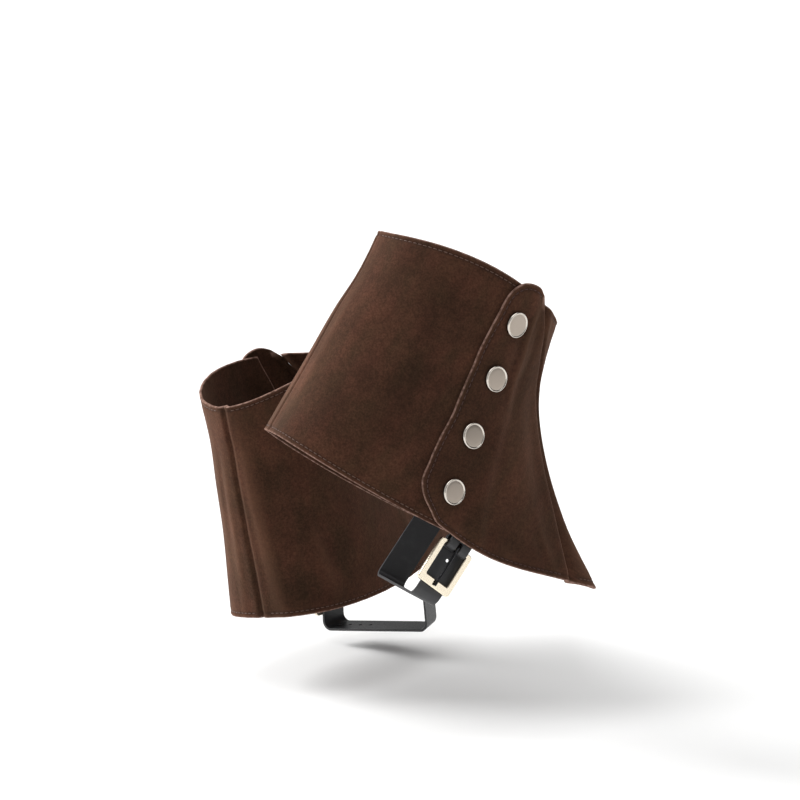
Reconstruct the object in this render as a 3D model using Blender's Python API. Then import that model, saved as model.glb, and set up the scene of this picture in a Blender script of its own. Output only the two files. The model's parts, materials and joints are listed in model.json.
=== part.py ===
"""A pair of suede boot covers, each in the pose of a walking foot.

Each cover is a tapered tube of three cloth panels. The outer back panel and the inner panel meet at the
centre-back seam, the inner and the front panel meet at the centre-front seam, and the front panel's rounded
flap lies over the outer back panel, where four snaps hold it. A strap under the foot ends in a small
buckle that hangs from a tab inside the outer hem.

Sizes are in millimetres until a mesh is made. A cover's own axes are x outward, y to the toe and z up, with
the centre of the heel's hem at the origin. The left cover is the right one's mirror image.
"""

import math

import bmesh
import bpy
import numpy as np
from mathutils import Euler, Matrix, Vector
from mathutils.geometry import delaunay_2d_cdt

MM = 0.001

# The ankle's middle in a cover's own axes, which is where the wearer's leg holds it up.
ANKLE = (0.0, 60.0, 85.0)

# Where each ankle is (mm), and the cover's turn, pitch and roll about Z, X and Y (degrees).
POSES = {
    "right": {"ankle": (0.0, 0.0, 0.0), "turn": -26.0, "pitch": -30.0, "roll": -8.5, "side": 1},
    "left": {"ankle": (-151.0, 3.0, -87.0), "turn": 22.5, "pitch": 6.0, "roll": -9.0, "side": -1},
}

# Level sections from the hem to the top rim, evenly spaced in height. The side's lift is above the straight
# line from back to front, and a lower roundness is a blunter end. The front seam and the outer back panel's
# hidden edge are given by girth, which is 0 at the centre back, 1 at the centre front and 2 at the centre
# back again, by way of the outer side first.
SECTION_COLUMNS = (
    "back_y", "back_z", "front_y", "front_z", "half_width", "side_lift", "back_round", "front_round",
    "front_seam", "underlap",
)
SECTIONS = np.array([
    (-1.0, 0.0, 208.5, 8.5, 46.5, -7.5, 0.34, 0.66, 0.892, 0.600),
    (0.0, 26.0, 176.0, 30.5, 47.0, -9.0, 0.41, 0.62, 0.935, 0.628),
    (0.5, 53.0, 150.0, 55.5, 45.5, -6.5, 0.47, 0.60, 0.952, 0.668),
    (1.0, 79.0, 129.5, 82.5, 43.0, -3.0, 0.49, 0.60, 0.948, 0.714),
    (2.5, 104.0, 120.0, 107.5, 41.0, 1.5, 0.51, 0.56, 0.888, 0.728),
    (1.5, 127.5, 115.5, 130.0, 40.5, 9.0, 0.52, 0.55, 0.788, 0.690),
])

WALL = 1.6  # thickness of the suede
GAP = 0.3  # between pieces that touch
PANEL_STEP = 8.0  # spacing of a panel's mesh points
GIRTH_SCALE = 175.0  # millimetres of cloth for one unit of girth, for the spacing of mesh points
HEIGHT_SCALE = 135.0  # and for one unit of height
FLAP_SLACK = 0.3  # extra room under the flap, where the snaps pull it
FLAP_REST = 3.0  # the flap lies level this far past the panel that it overlaps
FLAP_EASE = 9.0  # and then comes down over this distance
SEAM_POINTS = 18  # mesh points along each seam, the same on both pieces
EDGE_CLEAR = 0.5  # share of the panel step that free mesh points keep from a panel's edge
FOLD_CLEAR = 0.6  # and from its fold line
FACING_REACH = 0.012  # how far round and up the cloth its direction is measured

# The flap's free edge from the hem's corner up to its rounded top and down to the front seam.
FLAP_EDGE = (
    (0.0, 0.537), (0.016, 0.507), (0.064, 0.487), (0.107, 0.472), (0.162, 0.466), (0.25, 0.481),
    (0.36, 0.506), (0.5, 0.545), (0.62, 0.570), (0.74, 0.578), (0.84, 0.586), (0.90, 0.591),
    (0.945, 0.600), (0.98, 0.618), (1.005, 0.640), (1.022, 0.668), (1.032, 0.700), (1.032, 0.730),
    (1.022, 0.757),
)

# Soft creases that both covers share: middle girth and height, reach along each, and rise (mm).
CREASES = (
    (0.965, 0.10, 0.030, 0.22, 1.6),
    (0.880, 0.42, 0.045, 0.22, -1.5),
    (0.830, 0.88, 0.035, 0.14, 1.2),
    (0.250, 0.60, 0.120, 0.25, -1.6),
    (1.930, 0.35, 0.030, 0.40, 1.8),
    (1.860, 0.45, 0.040, 0.30, -1.8),
    (1.480, 0.40, 0.140, 0.22, -2.0),
    (1.200, 0.62, 0.060, 0.16, 1.8),
)

# Middles of the snaps as girth and height, from the top down. The cloth is pulled up behind each one and down
# in front of it by the third number (mm), so that the caps turn toward the toe.
SNAPS = ((0.671, 0.855, 1.50), (0.665, 0.632, 1.10), (0.605, 0.409, 1.55), (0.556, 0.185, 2.10))
SNAP_PULL_AT = 7.5  # how far from a snap's middle the cloth is pulled most
SNAP_PULL_REACH = 10.0
SNAP_REST = 6.0  # how far from its middle a cap rests on the cloth
SNAP_EASE = 0.4  # extra room under a cap, where the cloth curves
# A snap cap's turned profile: radius and height above the cloth.
SNAP_PROFILE = ((0.0, 1.9), (4.9, 1.75), (6.0, 2.1), (7.1, 1.7), (7.5, 1.0), (7.2, 0.3), (6.6, 0.0))
SNAP_SIDES = 20

# The strap hangs from a tab inside the outer hem. Its middle line is given by x and z in the cover's axes.
STRAP_WIDTH = 16.4
TAB_WIDTH = 14.0
STRAP_THICK = 1.4
STRAP_TURN = 12.5  # degrees that the buckle faces toward the toe
BUCKLE_Y = 116.2
BUCKLE_LEAN = 5.5  # degrees that the buckle's lower end leans out
BUCKLE_SLANT = 7.5  # degrees that it leans back toward the heel
BUCKLE_TOP = (36.6, -8.7)  # the buckle's top bar
BUCKLE_WIDTH = 23.0
BUCKLE_HEIGHT = 27.0
BUCKLE_SIDE_BAR = 3.6
BUCKLE_END_BAR = 4.8
BUCKLE_TOP_BAR = 2.2
BUCKLE_THICK = 2.4
BUCKLE_CORNER = 2.2
BUCKLE_WINDOW_CORNER = 0.8
FOLD_EASE = 0.35  # extra room between the top bar and what is bent round it
TAB_FOLD = BUCKLE_TOP_BAR / 2 + GAP + STRAP_THICK / 2 + FOLD_EASE  # radius of the tab's middle
TAB_RISE = 20.0  # length of the tab inside the cover
TAB_STRAIGHT = 2.0  # straight stretch next to the fold round the top bar
TAB_PINCH = 0.6  # share of the fold's radius to which the sewn end is drawn in
SLOT_EASE = 0.9  # how much wider the tab's slot is than the tongue
SLOT_LENGTH = 7.4
SLOT_DEPTH = 12.0
SLOT_DOWN = 0.3
TONGUE_THICK = 1.6
TONGUE_EYE = range(210, -31, -30)  # degrees round the top bar, from above
TONGUE_NECK = (2.0, 0.1)  # how far past the eye the straight pin starts, down and out
TONGUE_BOW = (0.6, 0.5)  # share of the way down where the pin bows out, and by how much
TONGUE_TIP = 1.0  # how far the pin reaches past the lower bar's middle
SOLE_BEND = 5.0  # radius of the strap's two bends at the sole
SOLE_INNER = -33.0  # the inner bend's middle
STRAP_DRIFT = 0.05  # how far the strap runs back toward the heel for each millimetre that it goes inward
STRAP_END = ((1.443, 0.0), (1.415, 0.1))  # girth and height where it is sewn inside the inner panel
STRAP_END_EASE = 1.0
STRAP_START = -5.0  # how far below the top bar's middle the strap's free end is, tucked behind the tab
STRAP_BEND = 5.0  # how far below it the strap starts to lean toward the buckle's lower end
STRAP_SHIFT = 1.3  # how far the strap runs toward the toe from the buckle's middle
STRAP_BEHIND = 0.2  # extra room between the strap and the buckle's frame
STRAP_RUN_OUT = 1.0  # how far the strap runs on straight past the buckle's lower end
INNER_BEND_END = -175  # degrees where the inner bend ends
BEND_STEPS = 6

MATERIALS = {
    "suede": ((0.078, 0.034, 0.022), 0.92, 0.0),
    "nickel": ((0.62, 0.60, 0.57), 0.28, 1.0),
    "strap": ((0.035, 0.035, 0.037), 0.5, 0.0),
}


def section(height):
    """A section's values at a height, on a smooth curve through the table's rows."""
    last = len(SECTIONS) - 1
    place = height * last
    row = min(max(int(math.floor(place)), 0), last - 1)
    part = place - row
    before = SECTIONS[row - 1] if row > 0 else 2 * SECTIONS[0] - SECTIONS[1]
    after = SECTIONS[row + 2] if row + 2 <= last else 2 * SECTIONS[last] - SECTIONS[last - 1]
    low, high = SECTIONS[row], SECTIONS[row + 1]
    low_slope, high_slope = (high - before) / 2, (after - low) / 2
    if part > 1:
        values = high + high_slope * (part - 1)
    else:
        values = (
            low * (2 * part**3 - 3 * part**2 + 1)
            + low_slope * (part**3 - 2 * part**2 + part)
            + high * (3 * part**2 - 2 * part**3)
            + high_slope * (part**3 - part**2)
        )
    return dict(zip(SECTION_COLUMNS, values, strict=True))


def half_outline(height, count=72):
    """Points of a section from its back to its front round the outer side, and the length along them."""
    form = section(height)
    share = (1 - np.cos(np.linspace(0, math.pi, count))) / 2
    back, front = form["back_round"], form["front_round"]
    fullest = back / (back + front)
    bulge = share**back * (1 - share) ** front / (fullest**back * (1 - fullest) ** front)
    lift = form["side_lift"] * 4 * share * (1 - share)
    points = np.stack([
        form["half_width"] * bulge,
        form["back_y"] + (form["front_y"] - form["back_y"]) * share,
        form["back_z"] + (form["front_z"] - form["back_z"]) * share + lift,
    ], axis=1)
    along = np.concatenate([[0], np.cumsum(np.linalg.norm(np.diff(points, axis=0), axis=1))])
    return points, along


def smooth_point(girth, height):
    """A point of the cover's outer face before its creases."""
    points, along = half_outline(height)
    outer = girth <= 1
    at = (girth if outer else 2 - girth) * along[-1]
    point = np.array([np.interp(abs(at), along, points[:, k]) for k in range(3)])
    if not outer or at < 0:
        point[0] = -point[0]
    return point


def facing(girth, height):
    """The direction straight out of the cloth."""
    reach = FACING_REACH
    round_it = smooth_point(girth + reach, height) - smooth_point(girth - reach, height)
    upward = smooth_point(girth, height + reach) - smooth_point(girth, height - reach)
    out = np.cross(round_it, upward)
    return out / np.linalg.norm(out)


def crease(girth, height):
    """How far the soft creases and the pull of the snaps raise or sink the cloth."""
    total = sum(
        rise * math.exp(-(((girth - at) / across) ** 2) - ((height - level) / along) ** 2)
        for at, level, across, along, rise in CREASES
    )
    length = half_girth(height)
    for at, level, pull in SNAPS:
        forward, upward = (girth - at) * length, (height - level) * HEIGHT_SCALE
        for side in (-1, 1):
            away = (forward - side * SNAP_PULL_AT) ** 2 + upward**2
            total -= side * pull * math.exp(-away / SNAP_PULL_REACH**2)
    return total


def cloth_point(girth, height, lift=0.0):
    """A point of the cloth's outer face, moved out by lift."""
    return smooth_point(girth, height) + facing(girth, height) * (lift + crease(girth, height))


def half_girth(height):
    """The length of cloth from the centre back to the centre front."""
    return half_outline(height)[1][-1]


def seam_line(column, shift, count=SEAM_POINTS):
    """Points up an edge that the sections give, moved round the cover by shift millimetres."""
    return [(section(h)[column] + shift / half_girth(h), h) for h in np.linspace(0, 1, count)]


def centre_back_line(shift, girth, count=SEAM_POINTS):
    """Points up the centre-back seam, moved round the cover by shift millimetres."""
    return [(girth + shift / half_girth(h), h) for h in np.linspace(0, 1, count)]


def level_line(start, end, height):
    """Points between two girths at one height, without either end."""
    count = max(2, round(abs(end - start) * GIRTH_SCALE / PANEL_STEP))
    return [(start + (end - start) * k / count, height) for k in range(1, count)]


def flap_line(count=34):
    """Points on a smooth curve along the flap's free edge, from the hem up to the front seam's top."""
    rows = np.array([(girth, height) for height, girth in FLAP_EDGE])
    scaled = rows * (GIRTH_SCALE, HEIGHT_SCALE)
    along = np.concatenate([[0], np.cumsum(np.linalg.norm(np.diff(scaled, axis=0), axis=1))])
    slope = np.gradient(rows, along, axis=0)
    line = []
    for at in np.linspace(0, along[-1], count):
        k = min(int(np.searchsorted(along, at, side="right")) - 1, len(rows) - 2)
        run = along[k + 1] - along[k]
        part = (at - along[k]) / run
        place = rows[k] * (2 * part**3 - 3 * part**2 + 1) + rows[k + 1] * (3 * part**2 - 2 * part**3)
        place += slope[k] * run * (part**3 - 2 * part**2 + part)
        place += slope[k + 1] * run * (part**3 - part**2)
        line.append(tuple(place))
    return line


def inside(point, polygon):
    """Whether a flat point lies inside a polygon."""
    x, y = point
    odd = False
    for (ax, ay), (bx, by) in zip(polygon, polygon[1:] + polygon[:1], strict=True):
        if (ay > y) != (by > y) and x < (bx - ax) * (y - ay) / (by - ay) + ax:
            odd = not odd
    return odd


def edge_distance(point, polygon):
    """How far a flat point is from a polygon's edge."""
    start = np.array(polygon)
    span = np.roll(start, -1, axis=0) - start
    share = np.clip(((np.array(point) - start) * span).sum(1) / (span * span).sum(1), 0, 1)
    return float(np.linalg.norm(start + share[:, None] * span - point, axis=1).min())


def cut_mesh(outline, fold=()):
    """Places of a panel's mesh points, as girth and height, and its triangles.

    The points of a fold are kept inside the outline, and the panel bends along them.
    """
    flat = [(g * GIRTH_SCALE, h * HEIGHT_SCALE) for g, h in outline]
    bend = [(g * GIRTH_SCALE, h * HEIGHT_SCALE) for g, h in fold]
    count = len(flat)
    lows, highs = np.min(flat, axis=0), np.max(flat, axis=0)
    points = flat + bend
    for row in range(math.floor(lows[1] / PANEL_STEP), math.ceil(highs[1] / PANEL_STEP) + 1):
        for column in range(math.floor(lows[0] / PANEL_STEP), math.ceil(highs[0] / PANEL_STEP) + 1):
            point = (column * PANEL_STEP, row * PANEL_STEP)
            clear = all(math.dist(point, other) > FOLD_CLEAR * PANEL_STEP for other in bend)
            if clear and inside(point, flat) and edge_distance(point, flat) > EDGE_CLEAR * PANEL_STEP:
                points.append(point)
    edges = [(i, (i + 1) % count) for i in range(count)]
    edges += [(count + i, count + i + 1) for i in range(len(bend) - 1)]
    found = delaunay_2d_cdt([Vector(p) for p in points], edges, [], 1, 1e-6)
    places = [(v.x / GIRTH_SCALE, v.y / HEIGHT_SCALE) for v in found[0]]
    triangles = []
    for face in found[2]:
        a, b, c = (found[0][i] for i in face)
        turn = (b - a).x * (c - a).y - (b - a).y * (c - a).x
        triangles.append(tuple(face) if turn > 0 else tuple(reversed(face)))
    return places, triangles


def make_object(name, points, faces, material, cover, smooth=False):
    """A mesh object that hangs on its cover's empty, from points in the cover's axes in millimetres."""
    side = POSES[cover["name"]]["side"]
    mesh = bpy.data.meshes.new(name)
    placed = [((x - ANKLE[0]) * MM * side, (y - ANKLE[1]) * MM, (z - ANKLE[2]) * MM) for x, y, z in points]
    if side < 0:
        faces = [tuple(reversed(face)) for face in faces]
    mesh.from_pydata(placed, [], faces)
    mesh.materials.append(material)
    if smooth:
        mesh.shade_smooth()
    thing = bpy.data.objects.new(name, mesh)
    bpy.context.scene.collection.objects.link(thing)
    thing.parent = cover["empty"]
    return thing


def make_panel(cover, piece, outline, lift, material, fold=()):
    """One panel of cloth: a wall on the cover's form, inside the cut outline."""
    places, triangles = cut_mesh(outline, fold)
    outer = [cloth_point(g, h, lift(g, h)) for g, h in places]
    inner = [cloth_point(g, h, lift(g, h) - WALL) for g, h in places]
    count = len(places)
    faces = list(triangles)
    faces += [(c + count, b + count, a + count) for a, b, c in triangles]
    uses = {}
    for a, b, c in triangles:
        for edge in ((a, b), (b, c), (c, a)):
            uses[edge] = True
    for a, b in uses:
        if (b, a) not in uses:
            faces.append((b, a, a + count))
            faces.append((b, a + count, b + count))
    return make_object(f"{cover['name']}_{piece}", outer + inner, faces, material, cover, smooth=True)


def outer_back_outline():
    """From the centre-back seam to the hidden edge under the flap."""
    front = seam_line("underlap", 0.0)
    back = centre_back_line(GAP / 2, 0.0)
    hem = level_line(back[0][0], front[0][0], 0.0)
    rim = level_line(front[-1][0], back[-1][0], 1.0)
    return hem + front + rim + back[::-1]


def front_outline():
    """From the flap's free edge to the centre-front seam."""
    seam = seam_line("front_seam", -GAP / 2)
    edge = flap_line()
    return level_line(edge[0][0], seam[0][0], 0.0) + seam + edge[::-1]


def inner_outline():
    """From the centre-front seam round the inner side to the centre-back seam."""
    seam = seam_line("front_seam", GAP / 2)
    back = centre_back_line(-GAP / 2, 2.0)
    hem = level_line(seam[0][0], back[0][0], 0.0)
    rim = level_line(back[-1][0], seam[-1][0], 1.0)
    return hem + back + rim + seam[::-1]


def flap_lift(girth, height):
    """The front panel lies on the outer back panel and eases down to the foot past its hidden edge."""
    level = min(max(height, 0.0), 1.0)
    past = (girth - section(level)["underlap"]) * half_girth(level) - FLAP_REST
    share = min(max(past / FLAP_EASE, 0.0), 1.0)
    return (WALL + GAP + FLAP_SLACK) * (1 - share * share * (3 - 2 * share))


def no_lift(_girth, _height):
    """A panel that lies on the form itself."""
    return 0.0


def make_snap(cover, number, girth, height, material):
    """A snap's cap, a turned disc with a rolled rim that lies on the flap."""
    lift = flap_lift(girth, height)
    reach, rise = SNAP_REST / half_girth(height), SNAP_REST / HEIGHT_SCALE
    forward = cloth_point(girth + reach, height, lift) - cloth_point(girth - reach, height, lift)
    upward = cloth_point(girth, height + rise, lift) - cloth_point(girth, height - rise, lift)
    out = Vector(np.cross(forward, upward)).normalized()
    foot = Vector(cloth_point(girth, height, lift)) + out * (GAP + SNAP_EASE)
    turn = Vector((0, 0, 1)).rotation_difference(out).to_matrix()
    points = [foot + turn @ Vector((0, 0, SNAP_PROFILE[0][1]))]
    for radius, rise in SNAP_PROFILE[1:]:
        for k in range(SNAP_SIDES):
            angle = 2 * math.pi * k / SNAP_SIDES
            points.append(foot + turn @ Vector((radius * math.cos(angle), radius * math.sin(angle), rise)))
    faces = [(0, 1 + k, 1 + (k + 1) % SNAP_SIDES) for k in range(SNAP_SIDES)]
    rings = len(SNAP_PROFILE) - 1
    for ring in range(rings - 1):
        upper, lower = 1 + ring * SNAP_SIDES, 1 + (ring + 1) * SNAP_SIDES
        for k in range(SNAP_SIDES):
            after = (k + 1) % SNAP_SIDES
            faces.append((upper + k, lower + k, lower + after, upper + after))
    bottom = 1 + (rings - 1) * SNAP_SIDES
    faces.append(tuple(bottom + k for k in reversed(range(SNAP_SIDES))))
    make_object(f"{cover['name']}_snap_{number}", points, faces, material, cover, smooth=True)


def buckle_axes():
    """The buckle's own axes: across the strap, down along it and out of the foot."""
    turn = Matrix.Rotation(math.radians(-STRAP_TURN), 3, "Z")
    level_across = turn.inverted() @ Vector((0, 1, 0))
    lean, slant = math.radians(BUCKLE_LEAN), math.radians(BUCKLE_SLANT)
    level_out = turn.inverted() @ Vector((1, 0, 0))
    plumb = level_out * math.sin(lean) + Vector((0, 0, -1)) * math.cos(lean)
    out = level_out * math.cos(lean) + Vector((0, 0, 1)) * math.sin(lean)
    across = level_across * math.cos(slant) + plumb * math.sin(slant)
    down = plumb * math.cos(slant) - level_across * math.sin(slant)
    return across, down, out


def on_buckle(across_by, down_by, out_by):
    """A place given in the buckle's axes, from the middle of its top bar."""
    across, down, out = buckle_axes()
    middle = Vector((BUCKLE_TOP[0], BUCKLE_Y, BUCKLE_TOP[1]))
    return middle + across * across_by + down * down_by + out * out_by


def rounded_corners(half_width, top, bottom, radius, steps=4):
    """Corners of a rounded rectangle, as pairs of across and down, going round once."""
    middles = (
        (half_width - radius, bottom - radius, 0),
        (-half_width + radius, bottom - radius, 90),
        (-half_width + radius, top + radius, 180),
        (half_width - radius, top + radius, 270),
    )
    line = []
    for across, down, first in middles:
        for k in range(steps + 1):
            angle = math.radians(first + 90 * k / steps)
            line.append((across + radius * math.cos(angle), down + radius * math.sin(angle)))
    return line


def make_buckle(cover, material):
    """The buckle's rectangular frame."""
    top = -BUCKLE_TOP_BAR / 2
    bottom = top + BUCKLE_HEIGHT
    half = BUCKLE_WIDTH / 2
    outline = rounded_corners(half, top, bottom, BUCKLE_CORNER)
    window = rounded_corners(
        half - BUCKLE_SIDE_BAR, top + BUCKLE_TOP_BAR, bottom - BUCKLE_END_BAR, BUCKLE_WINDOW_CORNER
    )
    count = len(outline)
    points = []
    for loop in (outline, window):
        for out_by in (BUCKLE_THICK / 2, -BUCKLE_THICK / 2):
            points += [on_buckle(across, down, out_by) for across, down in loop]
    faces = []
    for k in range(count):
        after = (k + 1) % count
        outer_front, outer_back, inner_front, inner_back = (n * count for n in range(4))
        faces.append((outer_front + k, inner_front + k, inner_front + after, outer_front + after))
        faces.append((outer_back + after, inner_back + after, inner_back + k, outer_back + k))
        faces.append((outer_front + after, outer_back + after, outer_back + k, outer_front + k))
        faces.append((inner_front + k, inner_back + k, inner_back + after, inner_front + after))
    make_object(f"{cover['name']}_buckle", points, outward(points, faces), material, cover)


def outward(points, faces):
    """The faces again, turned so that they enclose a positive volume."""
    volume = 0.0
    for face in faces:
        for a, b in zip(face[1:], face[2:], strict=False):
            volume += Vector(points[face[0]]).dot(Vector(points[a]).cross(Vector(points[b])))
    return faces if volume > 0 else [tuple(reversed(face)) for face in faces]


def make_strip(cover, piece, line, half_width, thick, place, material):
    """A flat strip of constant width along a line of pairs, which place() puts in the cover's axes."""
    points = []
    for k, here in enumerate(line):
        before, after = Vector(line[max(k - 1, 0)]), Vector(line[min(k + 1, len(line) - 1)])
        run_in = (Vector(here) - before).normalized() if k > 0 else (after - Vector(here)).normalized()
        run_out = (after - Vector(here)).normalized() if k < len(line) - 1 else run_in
        run = (run_in + run_out).normalized()
        side = Vector((-run.y, run.x)) * thick / 2 / max(run.dot(run_in), 0.5)
        for across in (-half_width, half_width):
            for sign in (1, -1):
                points.append(place(across, *(Vector(here) + side * sign)))
    faces = [(0, 1, 3, 2)]
    for k in range(len(line) - 1):
        a, b = 4 * k, 4 * (k + 1)
        for p, q in ((0, 1), (1, 3), (3, 2), (2, 0)):
            faces.append((a + q, a + p, b + p, b + q))
    last = 4 * (len(line) - 1)
    faces.append((last + 2, last + 3, last + 1, last))
    return make_object(f"{cover['name']}_{piece}", points, outward(points, faces), material, cover)


def arc(middle, radius, start, end, steps):
    """Points of an arc in a plane, from one angle to another in degrees."""
    angles = [math.radians(start + (end - start) * k / steps) for k in range(steps + 1)]
    return [(middle[0] + radius * math.cos(a), middle[1] + radius * math.sin(a)) for a in angles]


def make_tab(cover, material):
    """The tab: a strip folded round the buckle's top bar, with a slot where the tongue's eye turns."""
    line = [(-TAB_RISE, TAB_FOLD * TAB_PINCH), (-TAB_RISE / 2, TAB_FOLD), (-TAB_STRAIGHT, TAB_FOLD)]
    line += arc((0.0, 0.0), TAB_FOLD, 90, -90, 8)
    line += [(-TAB_STRAIGHT, -TAB_FOLD), (-TAB_RISE / 2, -TAB_FOLD)]
    tab = make_strip(cover, "tab", line, TAB_WIDTH / 2, STRAP_THICK, on_buckle, material)
    slot = bpy.data.meshes.new(f"{cover['name']}_tab_slot")
    bm = bmesh.new()
    bmesh.ops.create_cube(bm, size=1.0)
    bm.to_mesh(slot)
    bm.free()
    cutter = bpy.data.objects.new(slot.name, slot)
    side = POSES[cover["name"]]["side"]
    across, down, out = buckle_axes()
    middle = on_buckle(0, SLOT_DOWN, 0) - Vector(ANKLE)
    for vertex in slot.vertices:
        corner = vertex.co
        place = middle + across * corner.x * (TONGUE_THICK + SLOT_EASE)
        place += down * corner.y * SLOT_LENGTH + out * corner.z * SLOT_DEPTH
        vertex.co = (place.x * MM * side, place.y * MM, place.z * MM)
    bpy.context.scene.collection.objects.link(cutter)
    cutter.parent = cover["empty"]
    cutter.hide_render = True
    cutter.display_type = "WIRE"
    flip_if_inside_out(slot)
    cut = tab.modifiers.new("tongue slot", "BOOLEAN")
    cut.operation = "DIFFERENCE"
    cut.object = cutter
    cut.solver = "EXACT"


def flip_if_inside_out(mesh):
    """Turns a closed mesh's faces out."""
    bm = bmesh.new()
    bm.from_mesh(mesh)
    if bm.calc_volume(signed=True) < 0:
        bmesh.ops.reverse_faces(bm, faces=bm.faces)
    bm.to_mesh(mesh)
    bm.free()


def make_tongue(cover, material):
    """The buckle's tongue: an eye round the top bar and a pin that rests on the lower bar."""
    half = TONGUE_THICK / 2
    eye = BUCKLE_TOP_BAR / 2 + GAP + half + FOLD_EASE
    rest_down = BUCKLE_HEIGHT - BUCKLE_TOP_BAR / 2 - BUCKLE_END_BAR / 2
    rest_out = BUCKLE_THICK / 2 + GAP + half
    line = [(-math.sin(math.radians(a)) * eye, math.cos(math.radians(a)) * eye) for a in TONGUE_EYE]
    line.append((eye + TONGUE_NECK[0], eye + TONGUE_NECK[1]))
    line.append((rest_down * TONGUE_BOW[0], rest_out + TONGUE_BOW[1]))
    line.append((rest_down + TONGUE_TIP, rest_out))
    make_strip(cover, "tongue", line, half, TONGUE_THICK, on_buckle, material)


def make_strap(cover, material):
    """The strap: from behind the tab through the buckle, round the sole and up inside the inner panel."""
    behind = -BUCKLE_THICK / 2 - GAP - STRAP_THICK / 2 - STRAP_BEHIND
    tucked = -TAB_FOLD - STRAP_THICK - GAP - STRAP_BEHIND
    start = on_buckle(STRAP_SHIFT, STRAP_START, tucked)
    bend = on_buckle(STRAP_SHIFT, STRAP_BEND, tucked)
    ahead = on_buckle(STRAP_SHIFT, BUCKLE_HEIGHT - BUCKLE_END_BAR - BUCKLE_TOP_BAR, behind)
    low = on_buckle(STRAP_SHIFT, BUCKLE_HEIGHT + STRAP_RUN_OUT, behind)
    down = buckle_axes()[1]
    line = [(place.x, place.z) for place in (start, bend, ahead)]
    lean = math.atan2(down.x, -down.z)
    outer_middle = (low.x - math.cos(lean) * SOLE_BEND, low.z - math.sin(lean) * SOLE_BEND)
    line += arc(outer_middle, SOLE_BEND, math.degrees(lean), -90, BEND_STEPS)
    line += arc((SOLE_INNER, outer_middle[1]), SOLE_BEND, -90, INNER_BEND_END, BEND_STEPS)
    under_cloth = -(WALL + GAP + STRAP_THICK / 2 + STRAP_END_EASE)
    for girth, height in STRAP_END:
        sewn = cloth_point(girth, height, under_cloth)
        line.append((sewn[0], sewn[2]))

    def place(across_by, x, z):
        share = min(max(x / start.x, -1.0), 1.0)
        turn = math.radians(STRAP_TURN) * share
        drift = (x - start.x) * STRAP_DRIFT + min(z - start.z, 0.0) * down.y / down.z
        return Vector((x - math.sin(turn) * across_by, start.y + drift + math.cos(turn) * across_by, z))

    make_strip(cover, "strap", line, STRAP_WIDTH / 2, STRAP_THICK, place, material)


def make_material(name):
    """A material of one sub-part, from the table."""
    colour, roughness, metallic = MATERIALS[name]
    material = bpy.data.materials.new(name)
    material.use_nodes = True
    shader = material.node_tree.nodes["Principled BSDF"]
    shader.inputs["Base Color"].default_value = (*colour, 1.0)
    shader.inputs["Roughness"].default_value = roughness
    shader.inputs["Metallic"].default_value = metallic
    return material


def make_cover(name):
    """Every piece of one cover, on an empty at its ankle."""
    pose = POSES[name]
    empty = bpy.data.objects.new(f"{name}_ankle", None)
    bpy.context.scene.collection.objects.link(empty)
    empty.location = Vector(pose["ankle"]) * MM
    empty.rotation_mode = "YXZ"
    angles = (math.radians(pose["pitch"]), math.radians(pose["roll"]), math.radians(pose["turn"]))
    empty.rotation_euler = Euler(angles, "YXZ")
    cover = {"name": name, "empty": empty}
    make_panel(cover, "outer_back", outer_back_outline(), no_lift, make_material("suede"))
    bend = seam_line("underlap", FLAP_REST)[1:-1]
    make_panel(cover, "front", front_outline(), flap_lift, make_material("suede"), bend)
    make_panel(cover, "inner", inner_outline(), no_lift, make_material("suede"))
    for number, (girth, height, _pull) in enumerate(SNAPS, start=1):
        make_snap(cover, number, girth, height, make_material("nickel"))
    make_tab(cover, make_material("strap"))
    make_buckle(cover, make_material("nickel"))
    make_tongue(cover, make_material("nickel"))
    make_strap(cover, make_material("strap"))


def main():
    """Both covers, in an empty scene."""
    for thing in list(bpy.data.objects):
        bpy.data.objects.remove(thing)
    for name in POSES:
        make_cover(name)


main()
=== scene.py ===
"""The looks of a pair of brown suede boot covers, worn in a walking pose.

Each cover is three suede panels round one form: the outer back and the inner panel meet at the centre-back
seam, the inner and the front panel at the centre-front seam, and the front panel's rounded flap lies over the
outer back panel under four snaps. A strap under the foot ends in a buckle that hangs from a tab.

Sizes are in millimetres until a mesh is made. A cover's own axes are x outward, y to the toe and z up, with
the centre of the heel's hem at the origin. The left cover is the right one's mirror image, with its own
folds. A place on the cloth is given by girth and height. Girth goes round by the outer side: it is 0 at the
centre back, 1 at the centre front and 2 at the centre back again. Height is 0 at the hem and 1 at the rim.
"""

import itertools
import json
import math

import bmesh
import bpy
import numpy as np
from mathutils import Euler, Matrix, Vector
from mathutils.geometry import delaunay_2d_cdt

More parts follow.
